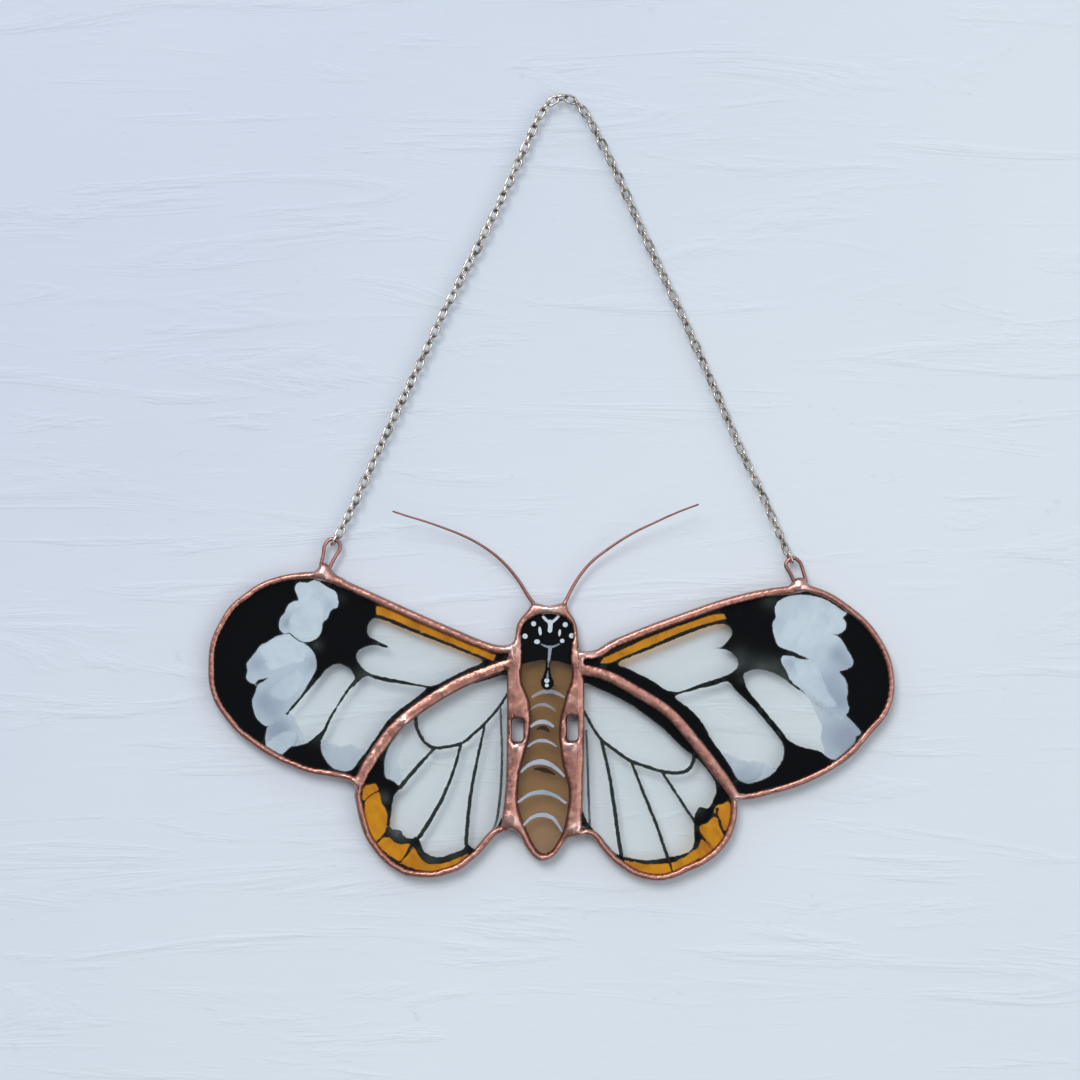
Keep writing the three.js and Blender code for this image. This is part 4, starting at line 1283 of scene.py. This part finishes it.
class ButterflyColours(bpy.types.PropertyGroup):
    """Colours of the finishes."""

    copper: colour_property("Copper", "Copper finish of the solder", (0.42, 0.2, 0.158))
    # Tarnish, and the painted shade towards the solder's edges.
    copper_tarnish_and_shade: colour_property(
        "Dark copper", "Tarnish at the solder's edges", (0.14, 0.05, 0.042))
    # Rubbed solder, and the painted highlight on the crown of pooled solder.
    copper_rubbed_and_highlight: colour_property(
        "Bright copper", "Rubbed or freshly pooled solder", (0.85, 0.6, 0.53))
    chain: colour_property("Chain", "Plating of the chain", (0.66, 0.6, 0.52))
    chain_dark: colour_property("Worn chain", "Duller plating", (0.24, 0.2, 0.16))
    clear_glass: colour_property("Clear glass", "Tint of the wing panes", (0.965, 0.975, 0.965))
    brown_glass: colour_property("Brown glass", "Tint of the body pane", (0.69, 0.545, 0.36))
    brown_low: colour_property("Paler brown glass", "Its tint at the tail", (0.78, 0.645, 0.52))
    black: colour_property("Black", "Black glass paint", (0.0035, 0.004, 0.005))
    black_thin: colour_property(
        "Thin black", "Black paint brushed out thin", (0.045, 0.056, 0.052))
    white: colour_property("White", "White glass paint", (0.54, 0.635, 0.685))
    lavender: colour_property("Lavender", "White paint in a cold shade", (0.24, 0.3, 0.385))
    milky: colour_property("Milky", "White paint brushed out thin", (0.43, 0.515, 0.58))
    amber: colour_property("Amber", "Amber glass paint", (0.58, 0.245, 0.005))
    amber_deep: colour_property("Deep amber", "Amber paint laid on thick", (0.34, 0.12, 0.003))
    brown_line: colour_property(
        "Brown line", "Thin lines drawn on the amber", (0.028, 0.011, 0.005))
    rust: colour_property("Rust", "Line along the copper of the body", (0.09, 0.03, 0.022))
    grey: colour_property("Grey", "Lavender-grey paint on the body", (0.5, 0.53, 0.6))
    wall: colour_property("Wall", "Paint of the wall", (0.7, 0.755, 0.79))
    # Painted shade of the wall towards the upper left, and also the colour of its chips.
    wall_shade_and_chips: colour_property("Wall shade", "Duller parts of the wall", (0.6, 0.65, 0.745))


# What the operators make.
CENTRE_X, CENTRE_Z = -5.9, -103.6  # of the picture
VIEW_WIDTH = 252.9  # of the picture, at the glass
VIEW_DISTANCE = 900  # of the camera from the glass
SENSOR_WIDTH = 36
WALL_SIZE = 2400


class ButterflyOperator:
    """What all the operators share."""

    bl_options = {"REGISTER", "UNDO"}

    def execute(self, context):
        chosen = context.scene.butterfly_colours
        colours = {key: tuple(getattr(chosen, key)) for key in ButterflyColours.__annotations__}
        self.make(context.scene.butterfly_sizes, SimpleNamespace(**colours))
        return {"FINISHED"}


class BUTTERFLY_OT_camera(ButterflyOperator, bpy.types.Operator):
    """Place the camera straight in front, as in the photograph"""

    bl_idname = "butterfly.camera"
    bl_label = "Camera"

    def make(self, sizes, colours):
        data = bpy.data.cameras.new("camera")
        data.sensor_width = SENSOR_WIDTH
        data.lens = SENSOR_WIDTH * VIEW_DISTANCE / VIEW_WIDTH
        data.clip_start, data.clip_end = 0.01, 10
        camera = bpy.data.objects.new("camera", data)
        camera.location = (CENTRE_X * MM, -VIEW_DISTANCE * MM, CENTRE_Z * MM)
        camera.rotation_euler = (math.radians(90), 0, 0)
        bpy.context.scene.collection.objects.link(camera)
        bpy.context.scene.camera = camera


LINK_SEGMENTS, WIRE_SEGMENTS = 14, 5
LINK_TURNS = (112, 22)  # of the links in turn, about the chain's line, in degrees
LINK_SWING = 10  # how far a link may hang off its turn, in degrees
LINK_SWAY = 0.05  # and how far before or behind the line
LINK_SEED = 4


class BUTTERFLY_OT_chain(ButterflyOperator, bpy.types.Operator):
    """Make the chain of interlinked wire links"""

    bl_idname = "butterfly.chain"
    bl_label = "Chain"

    def make(self, sizes, colours):
        wire_radius = sizes.link_wire / 2
        half_width = sizes.link_width / 2 - wire_radius
        half_length = sizes.link_pitch / 2 + wire_radius
        shape, faces = self.one_link(half_length, half_width, wire_radius)
        route = spline(CHAIN_ROUTE, step=0.2) * MM
        steps = np.linalg.norm(np.diff(route, axis=0), axis=1)
        run = np.concatenate([[0], np.cumsum(steps)])
        start = half_length - 2 * wire_radius
        count = int(round((run[-1] - 2 * start) / sizes.link_pitch)) + 1
        draw = random.Random(LINK_SEED)
        vertices, links = [], []
        for i in range(count):
            s = start + (run[-1] - 2 * start) * i / (count - 1)
            back, here, ahead = (
                np.array([np.interp(at, run, route[:, k]) for k in (0, 1)])
                for at in (s - MM, s, s + MM))
            tangent = (ahead - back) / np.linalg.norm(ahead - back)
            along = Vector((tangent[0], 0, tangent[1]))
            swing = math.radians(draw.uniform(-LINK_SWING, LINK_SWING) + LINK_TURNS[i % 2])
            across = Vector((-tangent[1], 0, tangent[0])) * math.cos(swing)
            across += Vector((0, 1, 0)) * math.sin(swing)
            normal = along.cross(across)
            turn = np.array([along, across, normal]).T
            centre = np.array([here[0], draw.uniform(-LINK_SWAY * MM, LINK_SWAY * MM), here[1]])
            links.extend(faces + len(vertices))
            vertices.extend(shape @ turn.T + centre)
        chain = mesh_object("link_chain", vertices, links)
        finish_piece(chain, chain_material(colours), "chain", "chain")

    def one_link(self, half_length, half_width, wire_radius):
        """The corners and faces of an oval link that lies along x: a ring, drawn out both ways."""
        bpy.ops.object.select_all(action="DESELECT")
        bpy.ops.mesh.primitive_torus_add(
            major_segments=LINK_SEGMENTS, minor_segments=WIRE_SEGMENTS,
            major_radius=half_width, minor_radius=wire_radius)
        link = bpy.context.active_object
        bpy.ops.object.mode_set(mode="EDIT")
        for way in (1, -1):
            bpy.ops.mesh.select_all(action="DESELECT")
            bpy.ops.object.mode_set(mode="OBJECT")
            for vertex in link.data.vertices:
                vertex.select = vertex.co.x * way > TINY
            bpy.ops.object.mode_set(mode="EDIT")
            bpy.ops.transform.translate(value=(way * (half_length - half_width), 0, 0))
        bpy.ops.object.mode_set(mode="OBJECT")
        shape = np.array([v.co for v in link.data.vertices])
        faces = np.array([list(p.vertices) for p in link.data.polygons])
        bpy.data.objects.remove(link)
        return shape, faces


BEAD_SPACING, BEAD_RINGS = 0.34, (0.09, 0.22, 0.4, 0.6)
BEAD_FRONT, BEAD_BACK = 0.8, -1.55  # where the solder's edges lie, just off the glass
MOST_FRONT, MOST_BACK = 1.6, 0.8  # the most that it stands off from there
CROWN = 0.8  # the rise at which the crown attribute is 1
SHARED_LINE = 0.8  # width of solder laid over the shared lines, so that no gap stays in them
WAVES = ((0.45, 0), (1.3, 5))  # broad and fine unevenness: how dense, and which layer of the noise


class BUTTERFLY_OT_frame(ButterflyOperator, bpy.types.Operator):
    """Make the soldered frame round all the panes"""

    bl_idname = "butterfly.frame"
    bl_label = "Soldered frame"

    def make(self, sizes, colours):
        shapes = [outline(edges)[0] for edges in PANES.values()]
        shapes += [spline(mound, True) for mound in MOUNDS]
        for line in (SIDE_LEFT, SIDE_RIGHT, SEAM_LEFT, SEAM_RIGHT):
            shapes.append(ribbon(line, SHARED_LINE, SHARED_LINE))
        holes = [*OPENINGS.values(), *(slot_outline(*slot) for slot in SLOTS)]
        sheet = Sheet(shapes + holes, lambda p: any_of(p, shapes) & ~any_of(p, holes),
                      BEAD_SPACING, BEAD_RINGS)
        rise = sheet.rise()
        crown = rise / CROWN
        most = sizes.bead_rise / MM
        rise = most * np.tanh(rise / most * 1.1)
        pool_swell_and_highlight = np.array([
            sum(math.exp(-((x - px) ** 2 + (z - pz) ** 2) / r**2) for px, pz, r in POOL_SWELLS_AND_HIGHLIGHTS)
            for x, z in sheet.points])
        wave, fine = (
            np.array([noise.noise(Vector((x * scale, layer, z * scale))) for x, z in sheet.points])
            for scale, layer in WAVES)
        shape = rise * (1 + 0.07 * wave + 0.015 * fine + 0.2 * np.clip(pool_swell_and_highlight, 0, 1))
        front = BEAD_FRONT + np.minimum(shape, MOST_FRONT)
        back = BEAD_BACK - np.minimum(0.55 * shape, MOST_BACK)
        solder = closed_sheet("soldered_frame", sheet, front, back)
        give(solder, "crown", np.tile(np.clip(crown, 0, 1.5), 2))
        # Where solder pooled it swells, and the copper gets a painted highlight there.
        give(solder, "pool", np.tile(np.clip(pool_swell_and_highlight, 0, 1), 2))
        material = copper_material("copper_solder", colours, "crown", "pool")
        finish_piece(solder, material, "copper", *(f"{name}_frame" for name in PANES))


ANTENNA_REACH = 6  # how far the tips of the antennae come forward
ROOT_SWELL = 1.5  # how many times thicker an antenna is where it starts, in the solder


class BUTTERFLY_OT_wires(ButterflyOperator, bpy.types.Operator):
    """Make the two hanging wires and the two antennae"""

    bl_idname = "butterfly.wires"
    bl_label = "Wires"

    def make(self, sizes, colours):
        copper = copper_material("copper_wire", colours, 0.62)
        radius = sizes.loop_wire / 2 / MM
        for side, route in HANGING_WIRES.items():
            points = [(x, 0.0, z) for x, z in spline(route, step=0.6)]
            loop = wire(f"hanging_wire_{side}", points, [radius] * len(points))
            finish_piece(loop, copper, "copper", f"hanging_loop_{side}")
        root, tip = sizes.antenna_root / 2 / MM, sizes.antenna_tip / 2 / MM
        for side, route in ANTENNAE.items():
            run = spline(route, step=1.2)
            share = np.linspace(0, 1, len(run))
            radii = root + (tip - root) * share**0.7
            radii[0] *= ROOT_SWELL
            points = [(x, -ANTENNA_REACH * t * t, z) for (x, z), t in zip(run, share)]
            antenna = wire(f"antenna_wire_{side}", points, radii)
            finish_piece(antenna, copper, "copper", f"antenna_{side}")


class BUTTERFLY_OT_glass(ButterflyOperator, bpy.types.Operator):
    """Give the panes their glass"""

    bl_idname = "butterfly.glass"
    bl_label = "Glass"

    def make(self, sizes, colours):
        clear = glass_material("clear_glass", colours.clear_glass, 0.04, 0.25)
        brown = glass_material("brown_glass", colours.brown_glass, 0.12, 0.5, colours.brown_low)
        for name in PANES:
            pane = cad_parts[f"{name}_glass"]
            pane.data.materials.clear()
            pane.data.materials.append(brown if name == "body" else clear)


# The paint, from the glass outwards.
WHITE_HEIGHT, AMBER_HEIGHT, BLACK_HEIGHT, MARK_HEIGHT = 0.81, 0.84, 0.88, 0.93
STROKE_STEP = 0.05  # from the milky paint to the strokes on it
FILM = 0.04  # thickness of the paint
FILM_SPACING, FILM_RINGS = 0.7, (0.12, 0.32)
HIDDEN = 0.4  # how far the black reaches under the bead
OVERLAP = 0.32  # how far the other colours reach under the black


def film(name, material, slot, nodes, loops, keep, height, tone=(), bare=(), pale=None, base=1.0):
    """A thin film of paint on the glass. tone and bare are soft spots of (x, z, radius, amount):
    tone shifts the colour, as pale does where it is given, and bare takes cover from base."""
    sheet = Sheet(loops, keep, FILM_SPACING, FILM_RINGS)
    p = sheet.points

    def spots(marks):
        total = np.zeros(len(p))
        for x, z, radius, amount in marks:
            total += amount * np.exp(-((p[:, 0] - x) ** 2 + (p[:, 1] - z) ** 2) / radius**2)
        return total

    shift = spots(tone)
    if pale:
        shift = np.maximum(shift, pale(p))
    made = closed_sheet(name, sheet, height, height - FILM, smooth=False)
    give(made, "edge", np.tile(sheet.gap(p), 2))
    give(made, "tone", np.tile(np.clip(shift, 0, 1), 2))
    give(made, "cover", np.tile(np.clip(base - spots(bare), 0, 1), 2))
    finish_piece(made, material, slot, *nodes)


def union_film(name, material, slot, nodes, shapes, height, limit=None, **more):
    """A film that covers every one of the shapes, cut off at the limit."""
    loops = shapes + ([limit] if limit is not None else [])

    def keep(p):
        inside = any_of(p, shapes)
        return inside & within(p, limit) if limit is not None else inside

    film(name, material, slot, nodes, loops, keep, height, **more)


def black_film(name, material):
    """The black paint of a wing: round its windows, and along its veins."""
    limit = grown(OPENINGS[name], HIDDEN)
    windows = [spline(window, True) for window in WINDOWS[name]] + AMBER[name]
    windows += [spline(bridge, True) for bridge in BRIDGES.get(name, ())]
    lines = [ribbon(*vein) for vein in VEINS[name]]
    tone, bare = SPOTS[name]

    def keep(p):
        return within(p, limit) & (~any_of(p, windows) | any_of(p, lines))

    film(f"{name}_black", material, "black_paint", [f"{name}_black_paint"],
         [limit, *windows, *lines], keep, BLACK_HEIGHT, tone=tone, bare=bare,
         pale=lambda p: 0.5 * any_of(p, windows))


class BUTTERFLY_OT_black(ButterflyOperator, bpy.types.Operator):
    """Paint the black borders, bars and veins of the wings"""

    bl_idname = "butterfly.black"
    bl_label = "Black paint"

    def make(self, sizes, colours):
        black = paint_material(
            "black_paint", (colours.black, colours.black, colours.black_thin), turn=30, ragged=0.7,
            soft=0.17, fringe=0.5, roughness=0.6, shine=0.03)
        thin = paint_material(
            "thin_black_paint", (colours.black_thin,) * 3, ragged=0.3, soft=0.15, thin=0.45,
            roughness=0.6, shine=0.08)
        for name in SPOTS:
            black_film(name, black)
        for side, vein in THIN_VEINS.items():
            union_film(f"thin_vein_{side}", thin, "black_paint", [], [ribbon(*vein)],
                       BLACK_HEIGHT, limit=OPENINGS[f"lower_{side}_wing"], base=0.9)


THIN_COVER = 0.65  # a milky patch with less is brushed as softly as the strokes


class BUTTERFLY_OT_white(ButterflyOperator, bpy.types.Operator):
    """Brush the milky patches and the white strokes over them"""

    bl_idname = "butterfly.white"
    bl_label = "White paint"

    def make(self, sizes, colours):
        milky = (colours.white, colours.milky, colours.lavender)
        brushes = {
            (kind, side): paint_material(
                f"{kind}_paint_{side}", milky, turn=turn, stroke=stroke, length=4, thin=0.12,
                ragged=ragged, soft=soft, roughness=roughness, shine=0.25, glow=(1, 1, 1, 1))
            for side, turn in (("left", 28), ("right", -35))
            for kind, stroke, ragged, soft, roughness in (
                ("milky", 450, 0.6, 0.25, 0.55), ("white", 380, 1.0, 0.7, 0.5))}
        for name, nodes, points, base, tone, bare in MILKY:
            side = "left" if "left" in name else "right"
            kind = "white" if base < THIN_COVER else "milky"
            union_film(name, brushes[kind, side], "white_paint", nodes,
                       [grown(spline(points, True), OVERLAP)], WHITE_HEIGHT - STROKE_STEP,
                       tone=tone, bare=bare, base=base)
        for name, points, base in STROKES:
            side = "left" if "left" in name else "right"
            union_film(name, brushes["white", side], "white_paint", [],
                       [grown(spline(points, True), OVERLAP / 2)], WHITE_HEIGHT, base=base)


class BUTTERFLY_OT_amber(ButterflyOperator, bpy.types.Operator):
    """Paint the amber strips and lobes, with their thin brown lines"""

    bl_idname = "butterfly.amber"
    bl_label = "Amber paint"

    def make(self, sizes, colours):
        amber = paint_material(
            "amber_paint", (colours.amber, colours.amber_deep, colours.amber_deep), turn=25,
            stroke=420, length=4, ragged=0.2, soft=0.12, fringe=0.45, roughness=0.35, shine=0.2,
            glow=(0.95, 0.62, 0.12, 1))
        brown = paint_material("brown_lines", (colours.brown_line,) * 3, ragged=0.3, soft=0.15,
                               roughness=0.5, shine=0.15)
        for wing, shapes in AMBER.items():
            for i, shape in enumerate(shapes, 1):
                name = wing.removesuffix("_wing") + (f"_{i}" if len(shapes) > 1 else "")
                union_film(f"{name}_amber", amber, "amber_paint", [f"{wing}_amber_paint_{i}"],
                           [grown(shape, OVERLAP)], AMBER_HEIGHT)
        for side, lines in BROWN_LINES.items():
            union_film(f"brown_lines_{side}", brown, "black_paint", [],
                       [ribbon(*line) for line in lines], MARK_HEIGHT)


FAINT_BANDS = 2  # of the bands, from the top
RIM_LINE = 0.28  # width of the rusty line along the copper of the body


class BUTTERFLY_OT_body_paint(ButterflyOperator, bpy.types.Operator):
    """Paint the black head with its white dots, and the pale bands of the abdomen"""

    bl_idname = "butterfly.body_paint"
    bl_label = "Body paint"

    def make(self, sizes, colours):
        black = paint_material("head_black", (colours.black,) * 3, ragged=0.25, soft=0.15,
                               roughness=0.5, shine=0.04)
        white = paint_material("white_dots", (colours.white, colours.white, colours.lavender),
                               stroke=1500, length=2, ragged=0.12, soft=0.08, roughness=0.45)
        grey = paint_material("grey_bands", (colours.grey, colours.lavender, colours.lavender),
                              turn=90, stroke=900, length=5, thin=0.3, ragged=0.3, soft=0.15,
                              roughness=0.5)
        rust = paint_material("rust_line", (colours.rust,) * 3, ragged=0.25, soft=0.15,
                              roughness=0.6, shine=0.1)
        brown = bpy.data.materials["brown_lines"]
        limit = grown(OPENINGS["body"], HIDDEN)
        union_film("head_black", black, "black_paint", ["head_black_paint"],
                   [np.array(HEAD_CAP), ribbon(CLUB_NECK, 1.5, 2.4, 1.15), oval(*CLUB)],
                   BLACK_HEIGHT, limit=limit)
        union_film("head_white_marks", white, "white_paint", [],
                   [ribbon(*line) for line in WHITE_LINES] + [oval(*dot) for dot in WHITE_DOTS],
                   MARK_HEIGHT)
        union_film("neck_marks", grey, "white_paint", [], [ribbon(*line) for line in NECK_MARKS],
                   MARK_HEIGHT, base=0.6)
        for i, band in enumerate(BANDS, 1):
            union_film(f"abdomen_band_{i}_paint", grey, "grey_paint", [f"abdomen_band_{i}"],
                       [ribbon(*band)], BLACK_HEIGHT, limit=limit,
                       base=0.4 if i <= FAINT_BANDS else 1.0)
        union_film("abdomen_dark_lines", brown, "black_paint", [],
                   [ribbon(*line) for line in DARK_BANDS], BLACK_HEIGHT, limit=limit)
        inner = grown(OPENINGS["body"], -RIM_LINE)
        film("body_rim_line", rust, "black_paint", [], [limit, inner],
             lambda p: within(p, limit) & ~within(p, inner), AMBER_HEIGHT, base=0.85)


class BUTTERFLY_OT_stage(ButterflyOperator, bpy.types.Operator):
    """Set the wall behind and the soft light"""

    bl_idname = "butterfly.stage"
    bl_label = "Stage"

    def make(self, sizes, colours):
        bpy.ops.object.select_all(action="DESELECT")
        bpy.ops.mesh.primitive_plane_add(
            size=WALL_SIZE * MM, location=(CENTRE_X * MM, sizes.wall_gap, CENTRE_Z * MM),
            rotation=(math.radians(90), 0, 0))
        wall = bpy.context.active_object
        wall.name = "wall"
        wall.data.materials.append(wall_material(colours))
        self.hang_lamps()
        self.light_room()
        bpy.context.scene.view_settings.view_transform = "Standard"

    def hang_lamps(self):
        """One bright lamp from the upper left and one faint lamp from the lower right."""
        for name, where, size, power in (
            ("window_light", (-0.45, -1.9, 0.8), 0.9, 23),
            ("fill_light", (1.0, -1.7, -0.5), 1.6, 11),
        ):
            data = bpy.data.lights.new(name, "AREA")
            data.size = size
            data.energy = power
            lamp = bpy.data.objects.new(name, data)
            lamp.location = where
            aim = Vector((CENTRE_X * MM, 0, CENTRE_Z * MM)) - lamp.location
            lamp.rotation_euler = aim.to_track_quat("-Z", "Y").to_euler()
            bpy.context.scene.collection.objects.link(lamp)

    def light_room(self):
        """Pale light from all round, greyer from below."""
        world = bpy.data.worlds.new("room")
        bpy.context.scene.world = world
        world.use_nodes = True
        tree = world.node_tree
        tree.nodes.clear()
        up = node(tree, "ShaderNodeSeparateXYZ", None,
                  Vector=node(tree, "ShaderNodeTexCoord").outputs["Generated"])
        sky = blend(tree, between(tree, up.outputs["Z"], -0.6, 0.7), (0.2, 0.2, 0.22, 1),
                    (0.82, 0.89, 1.0, 1))
        light = node(tree, "ShaderNodeBackground", None, Color=sky, Strength=0.75)
        out = node(tree, "ShaderNodeOutputWorld")
        feed(tree, out.inputs["Surface"], light.outputs[0])


class BUTTERFLY_PT_panel(bpy.types.Panel):
    """The steps and settings of the butterfly"""

    bl_label = "Glass butterfly"
    bl_idname = "BUTTERFLY_PT_panel"
    bl_space_type = "VIEW_3D"
    bl_region_type = "UI"
    bl_category = "Butterfly"

    def draw(self, context):
        for operator in STEPS:
            self.layout.operator(operator.bl_idname)
        for settings in (context.scene.butterfly_sizes, context.scene.butterfly_colours):
            column = self.layout.column()
            for key in settings.__annotations__:
                column.prop(settings, key)


STEPS = (
    BUTTERFLY_OT_camera, BUTTERFLY_OT_chain, BUTTERFLY_OT_frame, BUTTERFLY_OT_wires,
    BUTTERFLY_OT_glass, BUTTERFLY_OT_black, BUTTERFLY_OT_white, BUTTERFLY_OT_amber,
    BUTTERFLY_OT_body_paint, BUTTERFLY_OT_stage,
)
CLASSES = (ButterflySizes, ButterflyColours, *STEPS, BUTTERFLY_PT_panel)


def register():
    for item in CLASSES:
        bpy.utils.register_class(item)
    bpy.types.Scene.butterfly_sizes = bpy.props.PointerProperty(type=ButterflySizes)
    bpy.types.Scene.butterfly_colours = bpy.props.PointerProperty(type=ButterflyColours)


def unregister():
    del bpy.types.Scene.butterfly_colours
    del bpy.types.Scene.butterfly_sizes
    for item in reversed(CLASSES):
        bpy.utils.unregister_class(item)


def main():
    register()
    for step in STEPS:
        family, action = step.bl_idname.split(".")
        getattr(getattr(bpy.ops, family), action)()


if __name__ == "__main__":
    main()
